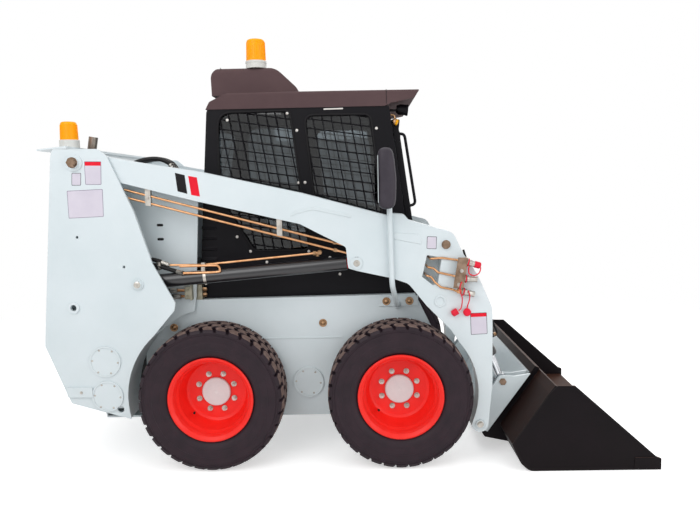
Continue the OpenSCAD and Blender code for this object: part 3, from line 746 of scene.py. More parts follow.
# Travel valve on the right upright: casting, flange, two pipes, and hoses that go in behind the tower
travelValve = {"block": [(-652, 872, 6), (-620, 872, 6), (-620, 940, 6), (-652, 936, 6)],
               "blockY": (571, 608),
               "flange": [(-621, 866, 4), (-613, 866, 2), (-613, 948, 2), (-621, 948, 4)],
               "flangeY": (571, 612), "screws": [(-636, 886), (-636, 920)], "y": 590, "startX": -650,
               "lines": [(918, -694), (886, -676)], "pipeMm": 7, "hoseMm": 11,
               "behindTower": [(-800, -602, 12), (-858, -604, 34)],
               "ferrule": [(0, 10), (13, 10), (13.5, 14), (13.5, 36), (12, 40), (0, 40)],
               "slots": [(-778, 1272), (-778, 1196)], "slotMm": (17, 7), "slotShadeY": (571, 573.5)}
look = travelValve
castings = [plate(look["block"], *look["blockY"], -1), plate(look["flange"], *look["flangeY"], -1)]
castings += [onSide(hexHead(14, 7, 9), x, look["blockY"][1] - 1, z, -1) for x, z in look["screws"]]
pipes, hoses, ends = [], [], []
for z, back in look["lines"]:
    pipes.append(tube([at(x, -look["y"], z) for x in (look["startX"], back)], look["pipeMm"]))
    run = [(back, -look["y"], 0), (back - 50, -look["y"] - 2, 1)] + look["behindTower"]
    hoses.append(tube(smoothPath([at(x, y, z + rise) for x, y, rise in run], 8), look["hoseMm"], 16))
    end = towards(at(back, -look["y"], z), (-1, 0, 0))
    ends += [moved(hexHead(24, 14, 13), end), moved(turned(look["ferrule"], 24), end)]
piece("travelValve", [(valveCasting, castings), (goldZinc, pipes), (brightZinc, ends), (hoseRubber, hoses)],
      "chassis", "bare_steel", bevelMm=1)
# Black oblongs at the tower's two front slots, on both sides: painted shade of the gap between the tower's
# plates
for side, s in sides.items():
    w, h = look["slotMm"]
    shadePatches = [plate(oblong(x - w, z - h, x + w, z + h, 6), *look["slotShadeY"], s) for x, z in look["slots"]]
    piece("slotShadePatches_" + side, [(sealRubber, shadePatches)], "chassis", "black_paint")
print("stage: frame")

# Cab: side panels with their windows, louvres and wire screens; rounded roof; levers

cabShape = {
    "lean": 0.135, "wallMm": 40, "low": 870, "top": 1884, "backX": -595, "backRun": 75, "frontX": 463,
    "sillX": 590, "ledgeZ": 870.3, "ledgeFall": (14, 1485),
    "rear": [(-462, 1868, 80), (-70, 1871, 30), (16, 1117, 30), (-285, 1117, 40), (-462, 1400, 80)],
    "front": [(6, 1846, 50), (364, 1844, 50), (418, 1282, 40), (60, 1282, 40)],
    "louvres": [960 + 58 * i for i in range(6)], "louvreX": (-566, -496), "hinges": (1050, 1640),
    "lugMm": (-2, 0, 13.7, 40), "screenMm": 50, "wireMm": 3.2, "wireSlopes": (0.17, 0.15),
    "paneMm": (476, 482), "strip": [(112, 1878), (216, 1879), (216, 1872), (112, 1871)]}


def cabBack(z):
    low, high = cabShape["low"], cabShape["top"]
    return cabShape["backX"] + cabShape["backRun"] * (z - low) / (high - low)


def cabFront(z):
    return cabShape["frontX"] + cabShape["lean"] * (cabShape["top"] - z)


def cabLedge(x):
    fall, run = cabShape["ledgeFall"]
    return cabShape["ledgeZ"] - fall * (cabShape["sillX"] - x) / run


def screenWires(corners, y):
    # Two sets of slanted wires, from edge to edge of a window
    outline = [Vector(p) for p in roundedCorners(corners)]
    steep, flat = cabShape["wireSlopes"]
    sets = ((Vector((1, steep)).normalized(), Vector((-steep, 1))),
            (Vector((flat, 1)).normalized(), Vector((1, -flat))))
    wires = []
    for k, (axis, run) in enumerate(sets):
        spans = [p.dot(axis) for p in outline]
        level = min(spans) + 0.6 * cabShape["screenMm"]
        while level < max(spans):
            ends = []
            for p, q in zip(outline, outline[1:] + outline[:1]):
                a, b = p.dot(axis) - level, q.dot(axis) - level
                if a * b < 0:
                    ends.append(p.lerp(q, a / (a - b)))
            ends.sort(key=lambda p: p.dot(run))
            if len(ends) > 1:
                inward = math.copysign(5 * k, y)
                bar = [at(p.x, y - inward, p.y) for p in (ends[0], ends[-1])]
                wires.append(tube(bar, cabShape["wireMm"], 8))
            level += cabShape["screenMm"]
    return wires


for side, s in sides.items():
    look, out = cabShape, halfWidths["cab"]
    low, top, sill = out - look["wallMm"], look["top"], look["sillX"]
    corners = [(cabBack(cabLedge(look["backX"])), cabLedge(look["backX"])), (cabBack(top), top, 20),
               (look["frontX"], top), (sill, top - (sill - look["frontX"]) / look["lean"]),
               (sill, cabLedge(sill))]
    x0, x1 = look["louvreX"]
    cuts = [plate(look[name], low - 5, out + 5, s) for name in ("rear", "front")]
    cuts += [plate(oblong(x0, z - 9, x1, z + 3), low - 5, out + 5, s) for z in look["louvres"]]
    shapes = [carved(plate(corners, low, out, s), cuts)]
    for z in look["louvres"]:
        blade = [(out - 1, z + 3), (out + 8, z - 7), (out + 8, z - 5), (out - 1, z + 9)]
        shapes.append(alongX(blade, x0 - 4, x1 + 4, s))
    if side == "left":
        a = math.atan(look["lean"])
        for z in look["hinges"]:
            lug = [(cabFront(z) + u * math.cos(a) - w * math.sin(a), z + u * math.sin(a) + w * math.cos(a))
                   for u, w in oblong(*look["lugMm"])]
            shapes.append(plate(lug, low, out, s))
    dressed("cab_side_" + side, "cabSide_" + side, [(blackPowder, shapes)], "chassis", "black_paint",
            angle=30)
    wires = screenWires(look["rear"], s * (out - 8)) + screenWires(look["front"], s * (out - 8))
    piece("windowScreens_" + side, [(blackPowder, wires)], "chassis", "black_paint")
    piece("headerStrip_" + side, [(whiteNylon, [plate(look["strip"], out, out + 0.8, s)])], "chassis",
          "white_paint")
panes = [plate(cabShape[name], *cabShape["paneMm"], s) for name in ("rear", "front") for s in (1, -1)]
panes.append(partOf(nodeShape("cab_glass"), lambda p: abs(p.y) < 0.4))
dressed("cab_glass", "cabPanes", [(tintedGlass, panes)], "chassis", "tinted_glass")
# End views that round the long upper edges of the roof and of the unit on it
roofShape = {
    "cab_roof": ("roofDressed", [(-505.5, 1880), (505.5, 1880), (505.5, 1972.5, 22), (-505.5, 1972.5, 22)],
                 700),
    "roof_unit": ("roofUnitDressed", [(-380.5, 1967), (380.5, 1967), (340, 2130.3, 45), (-340, 2130.3, 45)],
                  100)}
for node, (name, corners, front) in roofShape.items():
    rounded = carved(nodeShape(node), [alongX(corners, -600, front)], "INTERSECT")
    dressed(node, name, [(roofCoat, [rounded])], "chassis", "roof_paint", angle=30)
seams = [plate([(448, 1896), (451, 1896), (451, 1966), (448, 1966)], 504, 505.8, s) for s in (1, -1)]
seams += [slab((448, -500, 1971), (451, 500, 1972.6)), slab((-470, -340, 2129), (-467, 340, 2130.8))]
piece("roofSeams", [(sealRubber, seams)], "chassis", "roof_paint")
leverShape = {"rod": [(262, 190, 606), (250, 190, 760), (214, 176, 890)], "rodMm": 9,
              "grip": [(218, 177.6, 875), (190, 168, 978)], "gripMm": 19}
look = leverShape
levers = [tube(bent([at(x, y * s, z) for x, y, z in look["rod"]], 60), look["rodMm"], 14) for s in (1, -1)]
grips = [tube([at(x, y * s, z) for x, y, z in look["grip"]], look["gripMm"], 20) for s in (1, -1)]
piece("cabLevers", [(blackPowder, levers), (hoseRubber, grips)], "chassis", "grey_plastic")
print("stage: cab")

# Tailgate and engine lid: slotted grilles with wire mesh behind them, latch and handle

gateShape = {"foot": (-1349, 664), "lean": 0.08914, "slots": [1010 + 46 * i for i in range(10)],
             "slotMm": (300, 20), "rows": (-330, 30), "wireMm": 1.6,
             "mesh": (range(-341, 342, 22), range(1000, 1442, 21)), "latchZ": (820, 900),
             "latchY": (-500, -390), "paddleZ": (836, 884),
             "screws": [(700, -500), (700, 500), (1560, -500), (1000, -500), (1560, 0)]}


def gateFace(z, inward=0):
    x, low = gateShape["foot"]
    return x + gateShape["lean"] * (z - low) + inward


look = gateShape
y0, y1 = look["latchY"]
z0, z1 = look["paddleZ"]
flatX = gateFace((z0 + z1) / 2)
wide, high = look["slotMm"]
cuts = [slab((-1400, y, z), (-1100, y + wide, z + high)) for z in look["slots"] for y in look["rows"]]
cuts.append(slab((flatX - 30, y0, look["latchZ"][0]), (flatX + 8, y1, look["latchZ"][1])))
dressed("tailgate", "gateDressed", [(whiteEnamel, [carved(nodeShape("tailgate"), cuts)])], "rear_gate",
        "white_paint", angle=30)
wires = [tube([at(gateFace(995, 46), y, 995), at(gateFace(1460, 44), y, 1460)], look["wireMm"], 6)
         for y in look["mesh"][0]]
wires += [tube([at(gateFace(z, 46), y, z) for y in (-345, 345)], look["wireMm"], 6)
          for z in look["mesh"][1]]
paddle = slab((flatX - 2, y0 + 12, z0), (flatX + 6, y1 - 30, z1))
lip = slab((flatX - 8, y1 - 44, z0), (flatX + 6, y1 - 28, z1))
screws = [moved(hexHead(13, 6, 9), towards(at(gateFace(z, -0.5), y, z), (-1, 0, 0.09)))
          for z, y in look["screws"]]
piece("gateTrim", [(blackPowder, wires + [paddle, lip]), (brightZinc, screws)], "rear_gate", "black_paint",
      bevelMm=1)
lidShape = {"slots": [-1140 + 46 * i for i in range(7)], "slotMm": (18, 280), "rows": (-320, 40),
            "wireMm": 1.6, "mesh": (range(-325, 326, 25), range(-1145, -840, 25)), "gripX": -1162,
            "grip": [(-70, 1488), (-70, 1516), (70, 1516), (70, 1488)]}
look = lidShape
wide, long = look["slotMm"]
cuts = [slab((x, y, 1469), (x + wide, y + long, 1499)) for x in look["slots"] for y in look["rows"]]
dressed("engine_lid", "lidDressed", [(whiteEnamel, [carved(nodeShape("engine_lid"), cuts)])], "lid",
        "white_paint", angle=30)
wires = [tube([at(-1150, y, 1478), at(-840, y, 1478)], look["wireMm"], 6) for y in look["mesh"][0]]
wires += [tube([at(x, -330, 1479), at(x, 330, 1479)], look["wireMm"], 6) for x in look["mesh"][1]]
handle = tube(bent([at(look["gripX"], y, z) for y, z in look["grip"]], 16), 7, 12)
piece("lidTrim", [(blackPowder, wires + [handle])], "lid", "black_paint")
print("stage: tailgate and lid")

# Bucket and quick attach: stiffener along the slanted edge, side cutters, cutting edge, locking wedges

bucketShape = {"cutter": [(1357, 440), (1362, 440), (1775, 67), (1797, 60), (1797, 4), (1663, 4),
                          (1666, 66), (1762, 66), (1352, 436)],
               "edge": [(1640, 13), (1640, 20), (1782, 20), (1796, 7.5), (1700, 12)],
               "wedge": [(1000, 168), (1136, 355), (1108, 372, 14), (974, 188, 14)], "wedgeY": (310, 380),
               "lever": [(1112, 345, 338), (1074, 345, 372), (1048, 325, 440)]}
out = halfWidths["bucket"]
edges = [plate(bucketShape["cutter"], out - 1, out + 4, s) for s in (1, -1)]
edges.append(plate(bucketShape["edge"], -out + 13, out - 13))
piece("bucketEdges", [(bucketPaint, edges)], "bucket", "dark_steel", bevelMm=1)
for side, s in sides.items():
    lever = tube(bent([at(x, s * y, z) for x, y, z in bucketShape["lever"]], 20), 9, 14)
    wedge = plate(bucketShape["wedge"], *bucketShape["wedgeY"], s)
    piece("attachWedge_" + side, [(whiteEnamel, [wedge]), (brownSteel, [lever])], "bucket", "white_paint",
          bevelMm=2)
print("stage: bucket trim")

# Tyres: a moulded carcass with four rows of interlocking blocks

tyreShape = {"blocks": 34, "depthMm": 17, "crownMm": 5, "draftMm": 2.5, "topBevelMm": 1.6, "segments": 120}
# Block outline: share of the pitch along the tread, share of the row across it
blockOutline = [(-0.42, 0.0), (-0.02, 0.0), (0.32, 0.0), (0.48, 0.5), (0.32, 1.0), (-0.02, 1.0),
                (-0.42, 1.0), (-0.24, 0.5)]
blockRows = [(-0.92, -0.50, 0.0), (-0.46, -0.03, 0.5), (0.03, 0.46, 0.0), (0.50, 0.92, 0.5)]


def wheelMatrix(corner):
    return Matrix.Translation(nodeCentre("tyre_" + corner)) @ sideTurn(wheelCorners[corner])


def crownRadius(radius, share):
    return radius - tyreShape["crownMm"] / 1000 * share ** 2


def treadBlocks(radius, half):
    depth, draft, lip = (tyreShape[k] / 1000 for k in ("depthMm", "draftMm", "topBevelMm"))
    pitch = 2 * math.pi / tyreShape["blocks"]
    tops, walls = [], []
    n = len(blockOutline)
    for low, high, shift in blockRows:
        for i in range(tyreShape["blocks"]):
            points = []
            for drop, grow in ((0.0, -lip), (lip, 0.0), (depth, draft)):
                for u, v in blockOutline:
                    share = low + (high - low) * v
                    outside = abs(share) > 0.9
                    angle = pitch * (i + shift + u) + grow / radius * (1 if u > -0.1 else -1)
                    across = share * half + grow * (1 if v > 0.5 else -1 if v < 0.5 else 0)
                    r = crownRadius(radius, share) - drop - (0.004 if outside else 0.0)
                    if outside:
                        across += math.copysign(0.30 * drop, share)
                    points.append(Vector((r * math.cos(angle), r * math.sin(angle), across)))
            faces = [tuple(range(2 * n, 3 * n))]
            for k in range(2):
                faces += [(k * n + (j + 1) % n, k * n + j, (k + 1) * n + j, (k + 1) * n + (j + 1) % n)
                          for j in range(n)]
            tops.append(([p.copy() for p in points[:n]], [tuple(range(n))]))
            walls.append((points, faces))
    return tops, walls


def carcass(radius, half):
    depth = tyreShape["depthMm"] / 1000 - 0.001
    side = [(0.2063, 0.097), (0.225, 0.106), (0.229, 0.110), (0.237, 0.118), (0.252, half * 0.955),
            (0.262, half * 0.975), (0.264, half * 0.968), (0.285, half * 0.995), (0.300, half),
            (0.302, half - 0.0015), (0.332, half * 0.975), (0.334, half * 0.98), (0.339, half * 0.972),
            (0.341, half * 0.95), (0.345, half * 0.948), (0.349, half * 0.955),
            (crownRadius(radius, 0.92) - depth - 0.002, half * 0.945)]
    tread = [(crownRadius(radius, s) - depth, half * s) for s in (0.8, 0.6, 0.4, 0.2, 0.0)]
    outer = side + tread
    inner = [(r, -z) for r, z in reversed(outer[:-1])]
    return lathed(list(reversed(outer + inner)), tyreShape["segments"], closed=True)


for corner in wheelCorners:
    low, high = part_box("tyre_" + corner)
    radius, half = (high.z - low.z) / 2, (high.y - low.y) / 2
    matrix = wheelMatrix(corner)
    tops, walls = treadBlocks(radius, half)
    dark = [moved(shape, matrix) for shape in [carcass(radius, half)] + walls]
    dressed("tyre_" + corner, "tyreDressed_" + corner,
            [(tyreRubber, dark), (lugRubber, [moved(shape, matrix) for shape in tops])], "wheel_" + corner,
            "tyre", angle=28)
print("stage: tyres")

# Rims: spun well with stepped dish, flat disc and hub
rimProfile = [(222, 106), (222, 114), (218, 117), (212, 116), (198, 104), (193, 90), (192, 62), (182, 44),
              (178, 4), (168, -28), (160, -44), (146, -50), (76, -50), (75, -40), (72, -38), (0, -38),
              (0, -84), (120, -84), (120, -66), (160, -60), (198, 40), (198, -96), (212, -116), (222, -114),
              (222, -106), (206, -98), (206, 98)]
for corner in wheelCorners:
    body = moved(hoop(rimProfile, 96), wheelMatrix(corner))
    dressed("rim_" + corner, "rimDressed_" + corner, [(rimEnamel, [body])], "wheel_" + corner, "rim_paint",
            angle=22)

# Wheel fittings: hub cap, eight nuts on their studs, valve

wheelTrim = {"studCircleMm": 101.6, "nuts": 8, "nutMm": 22, "nutRiseMm": 14, "discMm": -50, "capMm": 73,
             "capAtMm": -38, "capRiseMm": 3, "stepMm": 10, "studMm": 7, "studRiseMm": 22, "valveMm": 158,
             "valveTurn": 222, "turn": 22.5}


def around(matrix, radiusMm, degrees, riseMm):
    a = math.radians(degrees)
    return matrix @ Matrix.Translation((radiusMm / 1000 * math.cos(a), radiusMm / 1000 * math.sin(a),
                                        riseMm / 1000))


for corner in wheelCorners:
    matrix, look = wheelMatrix(corner), wheelTrim
    r, rise = look["capMm"], look["capRiseMm"]
    cap = turned([(0, 0), (r, 0), (r, rise - 1), (r - 1, rise), (look["stepMm"], rise),
                  (look["stepMm"] - 2, rise - 1.5), (0, rise - 1.5)], 72)
    wall = turned([(0, -12), (r + 3.5, -12), (r + 3, 0.5), (r - 1, 1), (0, 1)], 72)
    place = matrix @ Matrix.Translation((0, 0, look["capAtMm"] / 1000))
    piece("hubCap_" + corner, [(hubEnamel, [moved(cap, place), moved(wall, place)])], "wheel_" + corner,
          "rim_paint")
    studs = []
    for k in range(look["nuts"]):
        spot = around(matrix, look["studCircleMm"], 360 * k / look["nuts"] + look["turn"], look["discMm"])
        stud = turned([(0, 0), (look["studMm"], 0), (look["studMm"], look["studRiseMm"] - 2),
                       (look["studMm"] - 2, look["studRiseMm"]), (0, look["studRiseMm"])], 16)
        studs += [moved(hexHead(look["nutMm"], look["nutRiseMm"], 15), spot), moved(stud, spot)]
    piece("wheelNuts_" + corner, [(brightZinc, studs)], "wheel_" + corner, "bare_steel")
    foot = around(matrix, look["valveMm"], look["valveTurn"], -30).translation
    tip = around(matrix, look["valveMm"] - 6, look["valveTurn"], 2).translation
    cap = moved(turned([(0, 0), (6, 0), (6, 12), (4, 14), (0, 14)], 16),
                towards(tip, tip - foot) @ Matrix.Translation((0, 0, -0.002)))
    piece("valve_" + corner, [(goldZinc, [tube([foot, tip], 4)]), (hoseRubber, [cap])], "wheel_" + corner,
          "bare_steel")
print("stage: wheel fittings")

# Stripes and blank stickers: cut film on the enamel

armStripes = {"thickMm": 0.6, "black": [(-639, 1545), (-590, 1532), (-580, 1437), (-629, 1451)],
              "red": [(-572, 1528), (-528, 1519), (-516, 1422), (-560, 1431)]}
stickerFilm = {"edgeMm": 2.5, "filmMm": 0.5, "bandShare": 0.17, "cornerMm": 5}
# Corners run from the upper rear one: x and z; the last value says whether a red band heads the sticker
stickers = {"towerNotice": ("tower", "chassis",
                            [(-1091, 1611), (-1005, 1609), (-1010, 1492), (-1091, 1494)], True),
            "towerNumber": ("tower", "chassis",
                            [(-1158, 1554), (-1110, 1553), (-1114, 1490), (-1162, 1491)], False),
            "towerData": ("tower", "chassis", [(-1188, 1464), (-1005, 1470), (-1007, 1330), (-1186, 1324)],
                          False),
            "armNumber": ("arm", "boom", [(637, 1197), (687, 1195), (684, 1131), (634, 1134)], False),
            "armNotice": ("arm", "boom", [(855, 797), (940, 799), (944, 687), (859, 683)], True)}


def shrunk(outline, amount):
    result = []
    for k, p in enumerate(outline):
        p = Vector(p)
        a, b = Vector(outline[k - 1]) - p, Vector(outline[(k + 1) % len(outline)]) - p
        result.append(tuple(p + a.normalized() * amount + b.normalized() * amount))
    return result


def roundedFilm(outline, radius, steps=4):
    result = []
    for k, p in enumerate(outline):
        p = Vector(p)
        start = p + (Vector(outline[k - 1]) - p).normalized() * radius
        end = p + (Vector(outline[(k + 1) % len(outline)]) - p).normalized() * radius
        result += [tuple(q) for q in eased(start, p, end, steps)]
    return result


for side, s in sides.items():
    y = s * halfWidths["arm"]
    film = armStripes["thickMm"]
    piece("armStripes_" + side, [(blackVinyl, [sideView(armStripes["black"], y, y + s * film)]),
                                 (redVinyl, [sideView(armStripes["red"], y, y + s * film)])], "boom",
          "black_paint")
    look = stickerFilm
    for name, (carrier, body, corners, headed) in stickers.items():
        y, film, curve = s * halfWidths[carrier], s * look["filmMm"], look["cornerMm"]
        inner = shrunk(corners, look["edgeMm"])
        low = [tuple(Vector(inner[k]).lerp(Vector(inner[3 - k]), look["bandShare"])) for k in (0, 1)]
        border = violetVinyl if name in ("towerData", "towerNotice") else greyVinyl
        parts = [(border, [sideView(roundedFilm(corners, curve), y, y + film)]),
                 (whiteVinyl, [sideView(roundedFilm(inner, curve - 1), y + film * 0.5, y + film * 1.4)])]
        if headed:
            parts.append((redVinyl,
                          [sideView([inner[0], inner[1], low[1], low[0]], y + film, y + film * 1.8)]))
        piece(name + "_" + side, parts, body, "black_paint")
print("stage: stripes and stickers")

# Bolts, pin heads and small screws on the frame, towers and arms

fasteners = {
    "panelBoltMm": (22, 15),
    "panelBolts": [(432, 554, 834), (557, 554, 834), (-727, 572, 712), (84, 545, 719)],
    "coverScrewMm": (5.5, 3), "coverScrewAt": 67, "coverTurn": -5, "pivot": (-1145, 1605),
    "liftBase": (-849, 978), "liftEye": (276, 1066), "tiltPin": (733, 1154), "bucketPivot": (905, 210),
    "tiltEye": (1048, 398), "strapBolt": (-1170, 417), "slotShade": (276, 1096),
    "basePlug": [(0, 0), (17, 0), (17, 3), (14, 5), (5, 5), (3, 3), (0, 3)],
    "eyePlug": [(0, 0), (17, 0), (17, 1.5), (15, 3), (6, 3), (4, 1), (0, 1)]}


def pinHead(shape, place, y, s):
    x, z = fasteners[place]
    return onSide(shape, x, y, z, s)


for side, s in sides.items():
    look, tower, arm = fasteners, halfWidths["tower"], halfWidths["arm"]
    bolts = [onSide(flangeBolt(*look["panelBoltMm"]), x, y, z, s) for x, y, z in look["panelBolts"]]
    piece("panelBolts_" + side, [(brownZinc, bolts)], "chassis", "bare_steel")
    covers = [(place, tower + 5) for place in towerShape["covers"]]
    covers.append((frameShape["cover"], halfWidths["frame"] + 8))
    screws = []
    for (x, z), y in covers:
        place = outward(x, y, z, s)
        screws += [moved(domeHead(*look["coverScrewMm"]),
                         around(place, look["coverScrewAt"], 60 * k + look["coverTurn"], -0.2))
                   for k in range(6)]
    screws.append(pinHead(hexHead(11, 6, 8), "strapBolt", tower + 12, s))
    piece("coverScrews_" + side, [(brightZinc, screws)], "chassis", "bare_steel")
    pin = pinHead(hexHead(44, 16, 27), "pivot", tower + 20, s)
    base = pinHead(turned(look["basePlug"]), "liftBase", tower + 16, s)
    piece("pivotPins_" + side, [(brownSteel, [pin]), (brightZinc, [base])], "chassis", "bare_steel")
    eyes = [pinHead(turned(look["eyePlug"]), "liftEye", arm + 6, s),
            pinHead(hexHead(24, 9, 17), "bucketPivot", arm + 12, s)]
    # A grey film above the lift eye stands in for a slot: painted shade of its recess
    x, z = look["slotShade"]
    slotShadeFilm = sideView(oblong(x - 9, z - 2, x + 9, z + 2), s * arm, s * (arm + 0.6))
    head = pinHead(hexHead(38, 12, 23), "tiltPin", arm + 5, s)
    piece("armPins_" + side, [(brownSteel, [head]), (brightZinc, eyes), (greyVinyl, [slotShadeFilm])], "boom",
          "bare_steel")
    eyePin = pinHead(hexHead(34, 9, 24), "tiltEye", halfWidths["tilt"] + 41, s)
    piece("tiltEyePins_" + side, [(brownSteel, [eyePin])], "bucket", "bare_steel")
print("stage: bolts and pins")

# Mirrors: white posts, grained shells and glass that look back along the machine

mirrorShape = {"postMm": 14, "postY": 765, "post": [(455, 950), (441, 1590)],
               "root": [(491, 552, 812), (487, 592, 822)], "weld": (491, 554, 815, 19),
               "collar": [(0, 0), (19, 0), (20, 2), (20, 26), (19, 28), (0, 28)], "collarZ": (1356, 1560),
               "foot": [(390, 806), (604, 806), (604, 862), (390, 862)], "footMm": 8,
               "head": (427, 829, 1494), "halves": (49, 64, 151), "levels": 18, "segments": 40}


def shellPoint(angle, level, halves):
    x, y, z = halves
    close = max(1 - abs(level) ** 7, 0) ** (1 / 3)
    c, q = math.cos(angle), math.sin(angle)
    sx = math.copysign(abs(c) ** 0.6, c) * x * (0.86 if c < 0 else 1.0)
    sy = math.copysign(abs(q) ** 0.55, q) * y
    sx += x * 0.07 * (1 - abs(level)) - x * 0.10 * max(level, 0)
    return Vector((sx * close * (1 - 0.12 * max(level, 0)),
                   sy * (0.25 + 0.75 * close) * (1 - 0.07 * max(-level, 0)), z * level))


def mirrorHead(s):
    look, points, faces = mirrorShape, [], []
    n, rows = look["segments"], look["levels"]
    for i in range(rows + 1):
        level = math.sin(math.pi / 2 * (-1 + 2 * i / rows))
        points += [shellPoint(2 * math.pi * k / n, level * 0.999, look["halves"]) for k in range(n)]
    for i in range(rows):
        faces += [(i * n + k, i * n + (k + 1) % n, (i + 1) * n + (k + 1) % n, (i + 1) * n + k)
                  for k in range(n)]
    faces += [tuple(reversed(range(n))), tuple(range(rows * n, rows * n + n))]
    x, y, z = look["head"]
    return [at(x + p.x, s * (y + p.y), z + p.z) for p in points], faces


for side, s in sides.items():
    look = mirrorShape
    run = look["root"] + [(x, look["postY"], z) for x, z in look["post"]]
    post = bent([at(x, s * y, z) for x, y, z in run], 90)
    foot = sideView(look["foot"], s * (halfWidths["frame"] + 0.3),
                    s * (halfWidths["frame"] + look["footMm"]))
    x, y, z, r = look["weld"]
    circle = [at(x + r * math.cos(a), s * y, z + r * math.sin(a))
              for a in [math.pi * k / 8 for k in range(16)]]
    weld = tube(bent(circle, 4, closed=True), 4, 8, closed=True)
    piece("mirrorPost_" + side, [(whiteEnamel, [tube(post, look["postMm"], 20), foot, weld])], "chassis",
          "white_paint", bevelMm=1)
    x, y, z = look["head"]
    endX, endZ = look["post"][1]
    clamps = [moved(turned(look["collar"]),
                    Matrix.Translation(at(endX + (endZ - h) * 0.0215, s * look["postY"], h)))
              for h in look["collarZ"]]
    across = sorted((s * (y - 56), s * (y + 56)))
    pane = slab((x - 40, across[0], z - 118), (x - 37, across[1], z + 112))
    head = piece("mirrorHead_" + side, [(mirrorShell, [mirrorHead(s)] + clamps), (mirrorGlass, [pane])],
                 "chassis", "mirror_shell", angle=40)
    if side == "right":
        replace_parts(head, "mirrors")
print("stage: mirrors")

# Pipes, hoses and clamps of the lift cylinders

liftLines = {"pipeMm": 6.5, "hoseMm": 11, "outMm": (696, 724, 690), "backMm": 698, "banjo": (84, 1121),
             "base": (-849, 978), "axis": (0.99695, 0, 0.07799), "bandAt": 0.327, "mouthAt": 1.0764,
             "jaw": [(-532, 1018), (-512, 1018), (-511, 1080), (-531, 1080)],
             "tail": [(-521, 962), (-511, 961), (-509, 978), (-520, 979)],
             "seal": [(21, -6), (31, -6), (31, 0), (27, 4), (21, 4), (21, -6)],
             "upper": [(-700, 1068), (-530, 1066), (-447, 1073), (60, 1117), (84, 1119)],
             "lower": [(-624, 1028), (-452, 1031), (-434, 1043), (-442, 1062), (-470, 1066), (-640, 1064)],
             "hoses": [[(-700, 1068), (-725, 1078), (-765, 1094), (-815, 1100), (-850, 1070)],
                       [(-624, 1028), (-665, 1034), (-730, 1056), (-790, 1070), (-840, 1040)],
                       [(-757, 1046), (-757, 1064), (-775, 1052), (-800, 1030), (-850, 1010)]]}


def along(path, y, s):
    return [at(x, s * y, z) for x, z in path]


def fitting(place, direction, turnsMm):
    # Hexagon nut and crimped ferrule, from the pipe towards the hose
    nut = moved(hexHead(turnsMm * 1.9, turnsMm * 1.5, turnsMm), towards(place, direction))
    r = turnsMm + 1.2
    waist = r - 1
    ferrule = turned([(0, 8), (r, 8), (r, 18), (waist, 19), (waist, 24), (r, 25), (r, 31), (waist, 32),
                      (waist, 37), (r, 38), (r, 46), (0, 46)], 20)
    return [nut, moved(ferrule, towards(place, direction))]


for side, s in sides.items():
    look = liftLines
    body = "lift_cylinder_" + side
    y = look["outMm"][0]
    upper = tube(bent(along(look["upper"], y, s), 60), look["pipeMm"])
    lower = tube(smoothPath(along(look["lower"], look["outMm"][1], s), 5), look["pipeMm"])
    x, z = look["banjo"]
    banjo = [onSide(drum(12, -13, 13), x, 690, z, s), onSide(hexHead(18, 8, 11), x, 703, z, s),
             moved(drum(9, 0, 22), Matrix.Translation(at(72, s * 690, 1100)))]
    nut = moved(hexHead(20, 16, 11), towards(at(50, s * y, 1116.2), at(84, 0, 1119) - at(50, 0, 1116.2)))
    piece("liftPipes_" + side, [(goldZinc, [upper, lower]), (brownZinc, banjo + [nut])], body, "bare_steel")
    hoses, ends = [], []
    for y, path in zip(look["outMm"], look["hoses"]):
        line = smoothPath([at(x, s * (look["backMm"] if k else y), z) for k, (x, z) in enumerate(path)], 8)
        hoses.append(tube(line, look["hoseMm"], 16))
        ends += fitting(line[0], line[1] - line[0], look["hoseMm"])
    piece("liftHoses_" + side, [(hoseRubber, hoses), (brightZinc, ends)], body, "dark_steel")
    axis, (x, z) = Vector(look["axis"]), look["base"]
    base = at(x, s * 690, z)
    band = moved(drum(39, 0, 15, 48), towards(base + axis * look["bandAt"], axis))
    jaw = sideView(look["jaw"], s * 688, s * 720)
    screw = onSide(hexHead(12, 7, 8), -521, 720, 1047, s)
    tail = sideView(look["tail"], s * 688, s * 694)
    piece("liftClamp_" + side, [(brightZinc, [band, jaw, screw, tail])], body, "bare_steel", bevelMm=1.5)
    # Rod wiper seal at the mouth of the barrel
    seal = moved(turned(look["seal"], 40), towards(base + axis * look["mouthAt"], axis))
    piece("liftSeal_" + side, [(redVinyl, [seal])], body, "bare_steel")
print("stage: lift cylinder lines")

# Pipe clamps and pipe ends on the arms

armLines = {"pipeY": 721, "clampX": (-800, -130), "clampY": (708, 734), "pipeMm": 6.3,
            "ends": [((150, 1176), (206, 1160.8)), ((150, 1138), (238, 1114))]}


def armUnder(x):
    return 1501 - 102 * (x + 926) / 387 if x < -539 else 1399 - 127 * (x + 539) / 529


for side, s in sides.items():
    look = armLines
    low, high = look["clampY"]
    clamps, screws = [], []
    for x in look["clampX"]:
        top, front = armUnder(x), armUnder(x + 26)
        corners = [(x - 1, top + 1), (x + 27, front + 1), (x + 27, front - 85), (x - 1, top - 85)]
        clamps.append(sideView(corners, s * low, s * high))
        screws.append(onSide(hexHead(12, 7, 8), x + 13, high, (top + front) / 2 - 44, s))
    piece("armPipeClamps_" + side, [(brightZinc, clamps + screws)], "boom", "bare_steel", bevelMm=2)
    pipes, nuts = [], []
    for a, b in look["ends"]:
        start, end = at(a[0], s * look["pipeY"], a[1]), at(b[0], s * look["pipeY"], b[1])
        pipes.append(tube([start.lerp(end, -0.2), end], look["pipeMm"]))
        nuts.append(moved(hexHead(18, 16, 10), towards(start.lerp(end, 0.1), end - start)))
    piece("armPipeEnds_" + side, [(goldZinc, pipes), (brownZinc, nuts)], "boom", "bare_steel")
print("stage: arm lines")

# Auxiliary couplers: bracket face, nuts, knurled sleeves, dust caps on straps

